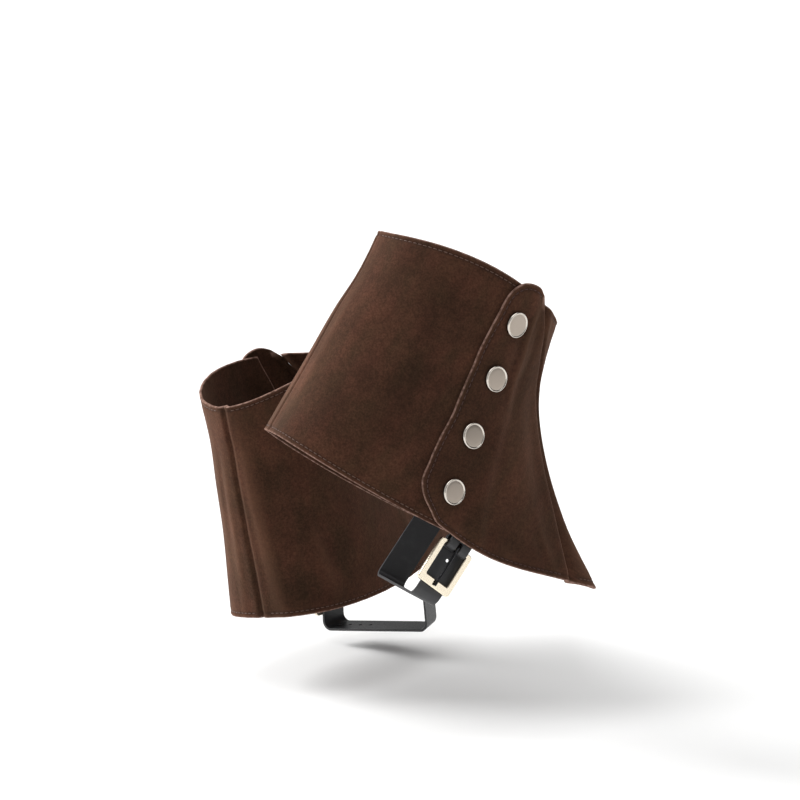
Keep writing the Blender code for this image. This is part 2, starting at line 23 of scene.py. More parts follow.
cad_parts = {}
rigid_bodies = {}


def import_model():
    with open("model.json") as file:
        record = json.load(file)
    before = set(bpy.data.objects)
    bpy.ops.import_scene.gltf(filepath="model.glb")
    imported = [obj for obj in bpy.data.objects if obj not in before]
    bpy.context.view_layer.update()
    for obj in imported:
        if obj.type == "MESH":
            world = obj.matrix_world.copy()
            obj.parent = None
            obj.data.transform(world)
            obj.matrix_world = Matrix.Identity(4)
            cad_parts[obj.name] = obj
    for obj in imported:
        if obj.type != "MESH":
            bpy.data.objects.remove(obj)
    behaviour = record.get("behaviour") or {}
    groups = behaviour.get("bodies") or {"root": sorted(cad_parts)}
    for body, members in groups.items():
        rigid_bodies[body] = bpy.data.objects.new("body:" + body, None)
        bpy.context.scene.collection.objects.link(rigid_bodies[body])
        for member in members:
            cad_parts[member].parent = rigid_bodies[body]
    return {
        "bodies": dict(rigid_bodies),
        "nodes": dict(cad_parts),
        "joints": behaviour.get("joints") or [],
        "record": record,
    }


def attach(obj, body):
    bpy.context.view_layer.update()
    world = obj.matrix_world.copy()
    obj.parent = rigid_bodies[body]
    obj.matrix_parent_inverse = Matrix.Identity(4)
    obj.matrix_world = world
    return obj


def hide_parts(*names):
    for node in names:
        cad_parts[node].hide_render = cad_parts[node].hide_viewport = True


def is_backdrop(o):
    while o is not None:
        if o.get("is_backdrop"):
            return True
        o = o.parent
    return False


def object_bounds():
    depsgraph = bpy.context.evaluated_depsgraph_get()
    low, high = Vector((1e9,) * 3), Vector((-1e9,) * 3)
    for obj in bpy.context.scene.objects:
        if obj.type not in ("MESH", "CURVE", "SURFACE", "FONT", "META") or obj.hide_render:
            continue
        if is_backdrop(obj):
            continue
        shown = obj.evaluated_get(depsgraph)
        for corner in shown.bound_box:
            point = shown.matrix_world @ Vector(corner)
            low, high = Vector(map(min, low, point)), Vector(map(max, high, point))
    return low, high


MM = 0.001
UP = Vector((0.0, 0.0, 1.0))

# The form and the pose, the same as the solids'.
ANKLE = (0.0, 60.0, 85.0)
POSES = {
    "right": {"ankle": (0.0, 0.0, 0.0), "turn": -26.0, "pitch": -30.0, "roll": -8.5, "side": 1},
    "left": {"ankle": (-151.0, 3.0, -87.0), "turn": 22.5, "pitch": 6.0, "roll": -9.0, "side": -1},
}
SECTION_COLUMNS = (
    "back_y", "back_z", "front_y", "front_z", "half_width", "side_lift", "back_round", "front_round",
    "front_seam", "underlap",
)
SECTIONS = np.array([
    (-1.0, 0.0, 208.5, 8.5, 46.5, -7.5, 0.34, 0.66, 0.892, 0.600),
    (0.0, 26.0, 176.0, 30.5, 47.0, -9.0, 0.41, 0.62, 0.935, 0.628),
    (0.5, 53.0, 150.0, 55.5, 45.5, -6.5, 0.47, 0.60, 0.952, 0.668),
    (1.0, 79.0, 129.5, 82.5, 43.0, -3.0, 0.49, 0.60, 0.948, 0.714),
    (2.5, 104.0, 120.0, 107.5, 41.0, 1.5, 0.51, 0.56, 0.888, 0.728),
    (1.5, 127.5, 115.5, 130.0, 40.5, 9.0, 0.52, 0.55, 0.788, 0.690),
])
OUTLINE_STEPS = 180  # points round half a section
HEIGHT = 133.0  # millimetres of cloth from hem to rim
FACING_REACH = 0.012
FORM_CHUNK = 4000  # places worked out at a time
GIRTH_LEVELS = np.linspace(-0.1, 1.1, 61)  # the heights at which girths are measured
WALL = 1.6
GAP = 0.3
FLAP_SLACK = 0.3
FLAP_REST = 3.0
FLAP_EASE = 9.0
FLAP_SCALE = (175.0, 135.0)  # millimetres for one unit of girth and of height, along the flap's edge
FLAP_EDGE = (
    (0.0, 0.537), (0.016, 0.507), (0.064, 0.487), (0.107, 0.472), (0.162, 0.466), (0.25, 0.481),
    (0.36, 0.506), (0.5, 0.545), (0.62, 0.570), (0.74, 0.578), (0.84, 0.586), (0.90, 0.591),
    (0.945, 0.600), (0.98, 0.618), (1.005, 0.640), (1.022, 0.668), (1.032, 0.700), (1.032, 0.730),
    (1.022, 0.757),
)

# Folds as middle girth and height, reach along each, and rise in millimetres: first the main ones, which the
# solids have too, and then each cover's own small ones.
MAIN_FOLDS = (
    (0.965, 0.10, 0.030, 0.22, 1.6), (0.880, 0.42, 0.045, 0.22, -1.5),
    (0.830, 0.88, 0.035, 0.14, 1.2), (0.250, 0.60, 0.120, 0.25, -1.6),
    (1.930, 0.35, 0.030, 0.40, 1.8), (1.860, 0.45, 0.040, 0.30, -1.8),
    (1.480, 0.40, 0.140, 0.22, -2.0), (1.200, 0.62, 0.060, 0.16, 1.8),
)
SMALL_FOLDS = {
    "right": (
        (0.752, 0.80, 0.012, 0.22, 1.0), (0.722, 0.72, 0.012, 0.18, -0.5),
        (0.782, 0.84, 0.009, 0.12, 0.6), (0.704, 0.72, 0.030, 0.10, 0.4),
        (0.845, 0.12, 0.010, 0.10, 0.6), (0.820, 0.09, 0.010, 0.08, -0.5),
        (0.560, 0.03, 0.020, 0.03, 0.5), (0.700, 0.02, 0.018, 0.03, 0.5),
        (1.310, 0.30, 0.020, 0.18, 0.7), (1.650, 0.70, 0.030, 0.15, -0.6),
        (0.060, 0.50, 0.022, 0.30, 0.5),
    ),
    "left": (
        (0.050, 0.40, 0.014, 0.35, 0.8), (0.085, 0.55, 0.014, 0.25, -0.7),
        (1.955, 0.55, 0.013, 0.35, 0.9), (1.915, 0.30, 0.012, 0.30, -0.7),
        (1.790, 0.25, 0.016, 0.18, 0.6), (0.752, 0.76, 0.012, 0.20, 0.6),
        (0.850, 0.14, 0.012, 0.12, 0.6), (1.420, 0.20, 0.020, 0.14, 0.7),
        (1.250, 0.40, 0.024, 0.14, -0.6),
    ),
}
SWELLS = 110  # soft random swells in the cloth of one cover
SWELL_REACH = (6.0, 17.0)
SWELL_RISE = 0.38
HEM_WAVE = 0.3  # how far the cut edges waver
HEM_WAVE_REACH = 7.0
HEM_WAVES = (9.0, 14.0, 23.0, 37.0)
HEM_DROOP = 4.0  # how far the front panel hangs below the other hems, just past the corner of its flap
HEM_DROOP_END = 0.90  # the girth at which it is level again
DROOP_PEAK = 4 / 27  # the highest value of the curve that the droop follows
SEEDS = {"right": 11, "left": 29}

# The panels' meshes.
CLOTH_STEP = 2.0  # between mesh points
EDGE_STEP = 1.5  # along a cut edge
EDGE_ROWS = (0.35, 0.9, 1.7, 2.3, 2.8, 3.3, 4.2)  # rows of mesh points beside an edge
ROW_SLACK = 0.97  # the share of its depth that a row keeps from every edge
MERGE_WITHIN = 1e-6
EDGE_ROUND = 0.4
EDGE_DROP = 0.32
STITCH_INSET = 2.8
STITCH_SLACK = 0.93  # the share of its inset that a stitch keeps from every edge
GROOVE_DEPTH = 0.34
GROOVE_REACH = 0.7
SEAM_DROP = 1.2  # how far the cloth turns in at a seam
SEAM_REACH = 2.4
SEAM_RIDGE = 0.45
SEAM_RIDGE_AT = 3.8
SEAM_GAP = 0.05
ALLOWANCE = 2.4  # extra depth of the cloth turned in at a seam
ALLOWANCE_REACH = 5.0
EDGE_WEAR = 0.3
EDGE_WEAR_REACH = 1.5
RAW_REACH = 0.65  # how far the pale raw edge shows
GROOVE_SHADE_REACH = 0.9
# Each panel's flat size and area as cut, in metres, and the girth from which its flat plan is measured.
PANELS = {
    "outer_back": {"origin": 0.0, "flat": (0.151, 0.143), "area": 0.0174, "thread": "thread"},
    "front": {"origin": 0.0, "flat": (0.093, 0.176), "area": 0.0113, "thread": "dark_thread"},
    "inner": {"origin": 2.0, "flat": (0.282, 0.158), "area": 0.0291, "thread": "thread"},
}

# Topstitching.
STITCH_PITCH = 3.1
STITCH_LENGTH = 2.5
THREAD_RADIUS = 0.27
THREAD_SIDES = 6
STITCH_RISE = (-0.32, 0.06, 0.14, 0.06, -0.32)  # along one stitch, above the cloth

# The snaps' middles as girth and height. The third number is how far the cloth is pulled up behind each one
# and down in front of it. A cap's turned profile gives radius and rise.
SNAPS = ((0.671, 0.855, 1.50), (0.665, 0.632, 1.10), (0.605, 0.409, 1.55), (0.556, 0.185, 2.10))
SNAP_PULL_AT = 7.5
SNAP_PULL_REACH = 10.0
SNAP_REST = 6.0  # how far from its middle a cap rests on the cloth
SNAP_DENT = 0.3
SNAP_DENT_REACH = 9.0
SNAP_PROFILE = (
    (2.0, 1.86), (4.6, 1.82), (6.0, 1.76), (6.32, 1.70), (6.44, 1.80), (6.62, 2.0), (6.88, 2.1),
    (7.16, 1.97), (7.38, 1.6), (7.5, 1.15), (7.45, 0.7), (7.25, 0.3), (6.9, 0.05), (6.4, 0.0),
)
SNAP_SIDES = 72
SNAP_FLAT = 6.2  # radius of the flat top, inside the rolled rim
SNAP_FOOT = 1.3  # below this rise a cap's side is painted dark as painted shadow

# The strap, its tab and its buckle.
STRAP_WIDTH = 16.4
TAB_WIDTH = 14.0
STRAP_THICK = 1.4
STRAP_TURN = 12.5
BUCKLE_Y = 116.2
BUCKLE_LEAN = 5.5
BUCKLE_SLANT = 7.5
BUCKLE_TOP = (36.6, -8.7)
BUCKLE_WIDTH = 23.0
BUCKLE_HEIGHT = 27.0
BUCKLE_SIDE_BAR = 3.6
BUCKLE_END_BAR = 4.8
BUCKLE_TOP_BAR = 2.2
BUCKLE_THICK = 2.4
BUCKLE_CORNER = 2.2
BUCKLE_WINDOW_CORNER = 0.8
BUCKLE_BEVEL = 0.5
FOLD_EASE = 0.35
TAB_FOLD = BUCKLE_TOP_BAR / 2 + GAP + STRAP_THICK / 2 + FOLD_EASE
TAB_FOLD_STEPS = 16
TAB_RISE = 20.0
TAB_STRAIGHT = 2.0
TAB_PINCH = 0.6
SLOT_SIZE = (2.5, 7.4, 12.0)
SLOT_DOWN = 0.3
TONGUE_THICK = 1.6
TONGUE_EYE = range(210, -31, -15)
TONGUE_NECK = (2.0, 0.1)
TONGUE_BOW = (0.6, 0.5)
TONGUE_TIP = 1.0
TONGUE_SIDES = 14
SOLE_BEND = 5.0
SOLE_INNER = -33.0
STRAP_DRIFT = 0.05
STRAP_END = ((1.443, 0.0), (1.415, 0.1))
STRAP_END_EASE = 1.0
STRAP_START = -5.0
STRAP_BEND = 5.0
STRAP_SHIFT = 1.3
STRAP_BEHIND = 0.2
STRAP_RUN_OUT = 1.0
INNER_BEND_END = -175
BEND_STEPS = 12
STRAP_BEVEL = 0.35
BEVEL_ANGLE = 40.0
STRAP_SEGMENTS, METAL_SEGMENTS = 2, 3  # steps of a rounded edge
MITRE_LIMIT = 0.5  # keeps a strip's corners from growing at a sharp bend
HOLE_RADIUS = 1.1
HOLE_AIM = 0.5  # how far on the place is that gives the strap's way at a hole
HOLE_CUT = 2  # how far a hole's cutter reaches from the strap's middle, in thicknesses
HOLE_SIDES = 20
HOLES_AT = (13.0, 41.0, 49.0, 57.0, 65.0)  # along the strap from its free end

# The finishes, in linear colour.
SUEDE_MID = (0.052, 0.0226, 0.0131)
SUEDE_DARK = (0.032, 0.0149, 0.0088)
SUEDE_OLIVE = (0.034, 0.0183, 0.0092)
SUEDE_WARM = (0.064, 0.0245, 0.0145)
# painted highlight on fold crests, and also the colour of wear along the cut edges
SUEDE_HIGHLIGHT_AND_WEAR = (0.115, 0.0557, 0.0334)
# painted shade in the stitch grooves
SUEDE_GROOVE_SHADE = (0.020, 0.010, 0.007)
SUEDE_RAW = (0.30, 0.185, 0.150)
SUEDE_SHEEN = (0.80, 0.46, 0.32)
SUEDE_ROUGHNESS = 0.95
SUEDE_SPECULAR = 0.1
SHEEN_WEIGHT = 0.2
SHEEN_ROUGHNESS = 0.5
THREAD_COLOUR = (0.135, 0.069, 0.046)
THREAD_SHADE = (0.06, 0.029, 0.019)
DARK_THREAD_COLOUR = (0.075, 0.026, 0.018)
DARK_THREAD_SHADE = (0.03, 0.011, 0.008)
CAP_COLOUR = (0.36, 0.31, 0.265)
# The rim's brighter colour is a painted highlight, and the foot's near-black colour is a painted contact
# shadow.
CAP_RIM_HIGHLIGHT_COLOUR = (0.62, 0.57, 0.51)
CAP_FOOT_SHADOW_COLOUR = (0.05, 0.042, 0.036)
BUCKLE_COLOUR = (0.84, 0.75, 0.60)
# near black as a painted dark reflection of dark surroundings
TONGUE_DARK_REFLECTION_COLOUR = (0.030, 0.030, 0.032)
RIM_POLISH = -0.16
STRAP_COLOUR = (0.022, 0.022, 0.024)
STRAP_SCUFF = (0.05, 0.05, 0.052)

# Noises, each by its scale, its detail and sometimes a stretch. A band is the part of a noise that is spread
# over what follows it, and a bump is a height in metres and a strength.
CLOUDS = (38.0, 2.5)
CLOUD_TONES = (0.34, 0.66, 0.80, 1.20)
BROAD_NAP = (22.0, 2.0, (1.0, 0.6, 1.0))
BRUSHED_NAP = (85.0, 4.0, (1.0, 0.45, 1.0))
BRUSHED_BUMP = (0.0005, 0.25)
PATCHES = (230.0, 3.0)
PATCH_BAND = (0.38, 0.62)
HUE_SHARE = (0.4, 0.6)
TUFTS = (420.0, 2.0)
TUFT_TONES = (0.36, 0.64, 0.88, 1.13)
RAW_TUFTS = (0.25, 0.95)
GRAIN = (1000.0, 2.0)
GRAIN_TONES = (0.36, 0.64, 0.82, 1.19)
GRAIN_BUMP = (0.0004, 0.5)
BAND = (0.36, 0.64)
FULL = (0.0, 1.0)
CREST_HIGHLIGHT_AND_WEAR_SHARE = (0.0, 1.0, 0.0, 0.4)
GROOVE_SHADE_SHARE = (0.1, 1.0, 0.0, 0.6)
RAW_SHARE = (0.2, 0.9, 0.0, 1.0)
THREAD_ROUGHNESS = 0.6
THREAD_TWIST = (900.0, 2.0)  # scale and distortion
THREAD_BUMP = (0.0002, 0.5)
MARKS = (2600.0, 2.0)
MARKS_BUMP = (0.00005, 0.3)
SATIN_BAND = (0.3, 0.7)
CAP_SATIN = (0.32, 0.40)
BUCKLE_SATIN = (0.14, 0.2)
TONGUE_SATIN = (0.16, 0.22)
LEATHER_GRAIN = (1300.0, 3.0)
LEATHER_SATIN = (0.34, 0.52)
LEATHER_BUMP = (0.0002, 0.35)
SCUFFS = (160.0, 4.0)
SCUFF_SHARE = (0.5, 0.75, 0.0, 0.35)

# The stage.
FLOOR_Z = -0.222
FLOOR_SIZE = 16.0
CAMERA_PLACE = (1.9541, -1.3411, 0.4735)
CAMERA_AIM = (0.0079, -0.0284, -0.0255)
CAMERA_LENS = 194.4
CAMERA_REACH = 50.0
FLOOR_COLOUR = (0.95, 0.95, 0.945)
FLOOR_ROUGHNESS = 0.9
WORLD_BRIGHT_SIDE = (-0.64, -0.77, 0.0)  # the way to the studio's bright side
WORLD_STRENGTHS = (0.04, 0.84)  # of the dark and of the bright side
LIGHT_AIM = (-0.06, 0.0, -0.08)
# Wide soft lights, far off: the way to each, the angle that it fills in degrees, and its strength.
LIGHTS = (
    ("key", (-0.86, -0.62, 0.60), 34.0, 3.9),
    ("top", (0.15, 0.0, 1.0), 60.0, 1.2),
)


def sections(height):
    """The section columns at an array of heights, on a smooth curve through the table's rows."""
    last = len(SECTIONS) - 1
    place = height * last
    row = np.clip(np.floor(place).astype(int), 0, last - 1)
    part = (place - row)[:, None]
    rows = np.vstack([2 * SECTIONS[0] - SECTIONS[1], SECTIONS, 2 * SECTIONS[-1] - SECTIONS[-2]])
    low, high = rows[row + 1], rows[row + 2]
    low_slope, high_slope = (high - rows[row]) / 2, (rows[row + 3] - low) / 2
    between = (
        low * (2 * part**3 - 3 * part**2 + 1)
        + low_slope * (part**3 - 2 * part**2 + part)
        + high * (3 * part**2 - 2 * part**3)
        + high_slope * (part**3 - part**2)
    )
    values = np.where(part > 1, high + high_slope * (part - 1), between)
    return dict(zip(SECTION_COLUMNS, values.T, strict=True))


def half_outlines(height):
    """Points of each height's section from back to front round the outer side, and the length along them."""
    form = {name: values[:, None] for name, values in sections(height).items()}
    share = ((1 - np.cos(np.linspace(0, math.pi, OUTLINE_STEPS))) / 2)[None, :]
    back, front = form["back_round"], form["front_round"]
    fullest = back / (back + front)
    bulge = share**back * (1 - share) ** front / (fullest**back * (1 - fullest) ** front)
    lift = form["side_lift"] * 4 * share * (1 - share)
    points = np.stack([
        form["half_width"] * bulge,
        form["back_y"] + (form["front_y"] - form["back_y"]) * share,
        form["back_z"] + (form["front_z"] - form["back_z"]) * share + lift,
    ], axis=2)
    steps = np.linalg.norm(np.diff(points, axis=1), axis=2)
    along = np.hstack([np.zeros((len(height), 1)), np.cumsum(steps, axis=1)])
    return points, along


def form_points(girth, height):
    """Points of the smooth form at arrays of girth and height."""
    found = []
    for start in range(0, len(girth), FORM_CHUNK):
        g, h = girth[start:start + FORM_CHUNK], height[start:start + FORM_CHUNK]
        points, along = half_outlines(h)
        at = np.where(g <= 1, g, 2 - g) * along[:, -1]
        after = np.clip((along < np.abs(at)[:, None]).sum(axis=1), 1, OUTLINE_STEPS - 1)
        rows = np.arange(len(g))
        low, high = along[rows, after - 1], along[rows, after]
        part = ((np.abs(at) - low) / (high - low))[:, None]
        point = points[rows, after - 1] * (1 - part) + points[rows, after] * part
        point[:, 0] *= np.where((g > 1) | (at < 0), -1, 1)
        found.append(point)
    return np.vstack(found)


def unit(vectors):
    """The same vectors, each of length one."""
    return vectors / np.linalg.norm(vectors, axis=1)[:, None]


def facings(girth, height):
    """Directions straight out of the form."""
    reach = FACING_REACH
    round_it = form_points(girth + reach, height) - form_points(girth - reach, height)
    upward = form_points(girth, height + reach) - form_points(girth, height - reach)
    return unit(np.cross(round_it, upward))


def half_girths(height):
    """The length of cloth from the centre back to the centre front, at an array of heights."""
    return np.interp(height, GIRTH_LEVELS, half_outlines(GIRTH_LEVELS)[1][:, -1])


def to_plan(places, origin):
    """Girths and heights as places on the flat cloth in millimetres, from the line of the origin's girth."""
    return np.stack([(places[:, 0] - origin) * half_girths(places[:, 1]), places[:, 1] * HEIGHT], axis=1)


def from_plan(plan, origin):
    """Places on the flat cloth as girths and heights."""
    height = plan[:, 1] / HEIGHT
    return np.stack([origin + plan[:, 0] / half_girths(height), height], axis=1)


def smooth_step(value):
    """0 below 0, 1 above 1 and an even curve between."""
    value = np.clip(value, 0, 1)
    return value * value * (3 - 2 * value)


def folds(girth, height, rows):
    """How far a table of folds raises or sinks the cloth."""
    rise = np.zeros(len(girth))
    for at, level, across, along, amount in rows:
        rise += amount * np.exp(-(((girth - at) / across) ** 2) - ((height - level) / along) ** 2)
    return rise


def swells(girth, height, seed):
    """Soft random swells, which join up round the cover."""
    random = np.random.default_rng(seed)
    middle = random.uniform((0, 0), (2, 1), (SWELLS, 2))
    reach = random.uniform(*SWELL_REACH, SWELLS)
    amount = random.uniform(-SWELL_RISE, SWELL_RISE, SWELLS)
    rise = np.zeros(len(girth))
    length = half_girths(height)
    for k in range(SWELLS):
        round_it = ((girth - middle[k, 0] + 1) % 2 - 1) * length
        upward = (height - middle[k, 1]) * HEIGHT
        rise += amount[k] * np.exp(-(round_it**2 + upward**2) / reach[k] ** 2)
    return rise


def snap_relief(girth, height):
    """The cloth is pulled toward the toe and pressed in a little round each snap."""
    rise = np.zeros(len(girth))
    length = half_girths(height)
    for at, level, pull in SNAPS:
        forward, upward = (girth - at) * length, (height - level) * HEIGHT
        rise -= SNAP_DENT * np.exp(-(forward**2 + upward**2) / SNAP_DENT_REACH**2)
        for side in (-1, 1):
            away = (forward - side * SNAP_PULL_AT) ** 2 + upward**2
            rise -= side * pull * np.exp(-away / SNAP_PULL_REACH**2)
    return rise


def cloth_rise(name, girth, height):
    """What the folds, swells and snaps do to one cover's cloth, on every panel alike."""
    return (
        folds(girth, height, MAIN_FOLDS)
        + folds(girth, height, SMALL_FOLDS[name])
        + swells(girth, height, SEEDS[name])
        + snap_relief(girth, height)
    )


def flap_lift(girth, height):
    """The front panel lies on the outer back panel and eases down to the foot past its hidden edge."""
    level = np.clip(height, 0, 1)
    past = (girth - sections(level)["underlap"]) * half_girths(level) - FLAP_REST
    return (WALL + GAP + FLAP_SLACK) * (1 - smooth_step(past / FLAP_EASE))


def seam_edge(seam, shift):
    """Places up a seam, given by its girth or by a section column, moved round by shift millimetres."""
    height = np.linspace(0, 1, round(HEIGHT / EDGE_STEP))
    girth = sections(height)[seam] if isinstance(seam, str) else seam
    return np.stack([girth + shift / half_girths(height), height], axis=1)


def level_edge(start, end, height):
    """Places from one girth to another at one height."""
    count = round(abs(end - start) * float(half_girths(np.array([height]))[0]) / EDGE_STEP)
    return np.stack([np.linspace(start, end, count), np.full(count, height)], axis=1)


def front_hem(start, end):
    """The front panel's hem, which hangs lower past the corner of its flap."""
    hem = level_edge(start, end, 0.0)
    part = np.clip((hem[:, 0] - start) / (HEM_DROOP_END - start), 0, 1)
    hem[:, 1] -= HEM_DROOP / HEIGHT * part * (1 - part) ** 2 / DROOP_PEAK
    return hem


def lengths_along(line):
    """How far along a line of points each of them is."""
    return np.concatenate([[0], np.cumsum(np.linalg.norm(np.diff(line, axis=0), axis=1))])


def flap_edge():
    """Places on a smooth curve along the flap's free edge, from the hem up to the front seam's top."""
    rows = np.array([(girth, height) for height, girth in FLAP_EDGE])
    along = lengths_along(rows * FLAP_SCALE)
    slope = np.gradient(rows, along, axis=0)
    line = []
    for at in np.linspace(0, along[-1], round(along[-1] / EDGE_STEP)):
        k = min(int(np.searchsorted(along, at, side="right")) - 1, len(rows) - 2)
        run = along[k + 1] - along[k]
        part = (at - along[k]) / run
        place = rows[k] * (2 * part**3 - 3 * part**2 + 1) + rows[k + 1] * (3 * part**2 - 2 * part**3)
        place += slope[k] * run * (part**3 - 2 * part**2 + part)
        place += slope[k + 1] * run * (part**3 - part**2)
        line.append(place)
    return np.array(line)


def panel_edges(piece):
    """A panel's edges in order round it, each with its kind: cut, hidden or seam."""
    if piece == "outer_back":
        back, front = seam_edge(0.0, SEAM_GAP), seam_edge("underlap", 0.0)
        hem, rim = level_edge(back[0][0], front[0][0], 0.0), level_edge(front[-1][0], back[-1][0], 1.0)
        return [("cut", hem), ("hidden", front), ("cut", rim), ("seam", back[::-1])]
    if piece == "front":
        seam, flap = seam_edge("front_seam", -SEAM_GAP), flap_edge()
        return [("cut", front_hem(flap[0][0], seam[0][0])), ("seam", seam), ("cut", flap[::-1])]
    seam, back = seam_edge("front_seam", SEAM_GAP), seam_edge(2.0, -SEAM_GAP)
    hem, rim = level_edge(seam[0][0], back[0][0], 0.0), level_edge(back[-1][0], seam[-1][0], 1.0)
    return [("cut", hem), ("seam", back), ("cut", rim), ("seam", seam[::-1])]


def distances(points, line):
    """How far each flat point is from a line of flat points."""
    start, span = line[:-1], np.diff(line, axis=0)
    nearest = np.full(len(points), np.inf)
    for a, run in zip(start, span, strict=True):
        share = np.clip(((points - a) @ run) / (run @ run), 0, 1)
        nearest = np.minimum(nearest, np.linalg.norm(points - a - share[:, None] * run, axis=1))
    return nearest


def kind_distance(points, edges, kinds):
    """How far each flat point is from the edges of the given kinds."""
    return np.min([distances(points, line) for kind, line in edges if kind in kinds], axis=0)


def inside(points, polygon):
    """Which flat points lie inside a polygon."""
    odd = np.zeros(len(points), bool)
    x, y = points.T
    for (ax, ay), (bx, by) in zip(polygon, np.roll(polygon, -1, axis=0), strict=True):
        if ay != by:
            crosses = ((ay > y) != (by > y)) & (x < (bx - ax) * (y - ay) / (by - ay) + ax)
            odd ^= crosses
    return odd


def inward(line, distance):
    """A line of flat points moved to its left, which is inside a panel."""
    run = unit(np.gradient(line, axis=0))
    return line + np.stack([-run[:, 1], run[:, 0]], axis=1) * distance


def cut_cloth(edges):
    """Flat mesh points and triangles of a panel, with close rows of points beside its edges."""
    outline = np.vstack([line[:-1] for _kind, line in edges])
    closed = np.vstack([outline, outline[:1]])
    points = [outline]
    for depth in EDGE_ROWS:
        rows = np.vstack([inward(line, depth) for _kind, line in edges])
        far = distances(rows, closed) > depth * ROW_SLACK
        points.append(rows[far & inside(rows, outline)])
    lows, highs = outline.min(axis=0), outline.max(axis=0)
    rise = CLOTH_STEP * math.sqrt(3) / 2
    grid = []
    for row in range(int((highs[1] - lows[1]) / rise) + 1):
        across = np.arange(lows[0] + (row % 2) * CLOTH_STEP / 2, highs[0], CLOTH_STEP)
        grid.append(np.stack([across, np.full(len(across), lows[1] + row * rise)], axis=1))
    grid = np.vstack(grid)
    far = distances(grid, closed) > EDGE_ROWS[-1] + CLOTH_STEP / 2
    points.append(grid[far & inside(grid, outline)])
    count = len(outline)
    loop = [(i, (i + 1) % count) for i in range(count)]
    found = delaunay_2d_cdt([Vector(p) for p in np.vstack(points)], loop, [], 1, MERGE_WITHIN)
    flat = np.array([tuple(v) for v in found[0]])
    faces = np.array(found[2])
    a, b, c = (flat[faces[:, k]] for k in range(3))
    turn = (b[:, 0] - a[:, 0]) * (c[:, 1] - a[:, 1]) - (b[:, 1] - a[:, 1]) * (c[:, 0] - a[:, 0])
    faces[turn < 0] = faces[turn < 0][:, ::-1]
    return flat, faces


def surface_rise(flat, edges):
    """The outer face's own relief beside a panel's edges, apart from what moves the whole cloth."""
    cut = kind_distance(flat, edges, ("cut", "hidden"))
    rise = -EDGE_DROP * (1 - np.clip(cut / EDGE_ROUND, 0, 1)) ** 2
    sewn = kind_distance(flat, edges, ("cut",))
    return rise - GROOVE_DEPTH * np.exp(-(((sewn - STITCH_INSET) / GROOVE_REACH) ** 2))


def seam_rise(flat, edges):
    """The whole cloth turns in at a seam, past a soft ridge."""
    if not any(kind == "seam" for kind, _line in edges):
        return np.zeros(len(flat))
    away = kind_distance(flat, edges, ("seam",))
    ridge = SEAM_RIDGE * np.exp(-(((away - SEAM_RIDGE_AT) / SEAM_REACH) ** 2))
    return ridge - SEAM_DROP * (1 - smooth_step(away / SEAM_REACH))


def edge_waver(panel, flat):
    """Cut edges waver a little between the stitches that hold them, and those that overlap waver together."""
    random = np.random.default_rng(SEEDS[panel["cover"]["name"]])
    near = np.exp(-kind_distance(flat, panel["edges"], ("cut",)) / HEM_WAVE_REACH)
    waves = np.zeros(len(flat))
    for length in HEM_WAVES:
        phase = random.uniform(0, 2 * math.pi, 2)
        waves += np.sin(flat[:, 0] * 2 * math.pi / length + phase[0])
        waves += np.sin(flat[:, 1] * 2 * math.pi / length + phase[1])
    return HEM_WAVE * near * waves / len(HEM_WAVES)


def whole_rise(panel, flat, girth, height):
    """Everything that moves the whole thickness of a panel from the smooth form."""
    lift = flap_lift(girth, height) if panel["piece"] == "front" else 0.0
    return (
        cloth_rise(panel["cover"]["name"], girth, height)
        + lift
        + seam_rise(flat, panel["edges"])
        + edge_waver(panel, flat)
    )


def pose_matrix(name):
    """Where a cover's ankle is in the shared frame, and how the cover is turned."""
    pose = POSES[name]
    angles = (math.radians(pose["pitch"]), math.radians(pose["roll"]), math.radians(pose["turn"]))
    return Matrix.Translation(Vector(pose["ankle"]) * MM) @ Euler(angles, "YXZ").to_matrix().to_4x4()


def in_frame(cover, points):
    """Points given in a cover's axes in millimetres, in the shared frame in metres."""
    placed = (np.asarray(points, float) - ANKLE) * MM
    placed[:, 0] *= POSES[cover["name"]]["side"]
    matrix = np.array(cover["matrix"])
    return [tuple(p) for p in placed @ matrix[:3, :3].T + matrix[:3, 3]]


def add_object(name, data):
    """A new object in the scene."""
    thing = bpy.data.objects.new(name, data)
    bpy.context.scene.collection.objects.link(thing)
    return thing


def make_piece(cover, piece, points, faces, material, smooth=True):
    """A mesh object of one cover, from points in the cover's axes, that rides on the frame."""
    side = POSES[cover["name"]]["side"]
    faces = [tuple(int(i) for i in (face if side > 0 else face[::-1])) for face in faces]
    mesh = bpy.data.meshes.new(f"{cover['name']}_{piece}")
    mesh.from_pydata(in_frame(cover, points), [], faces)
    mesh.materials.append(material)
    if smooth:
        mesh.shade_smooth()
    thing = add_object(mesh.name, mesh)
    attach(thing, "root")
    return thing


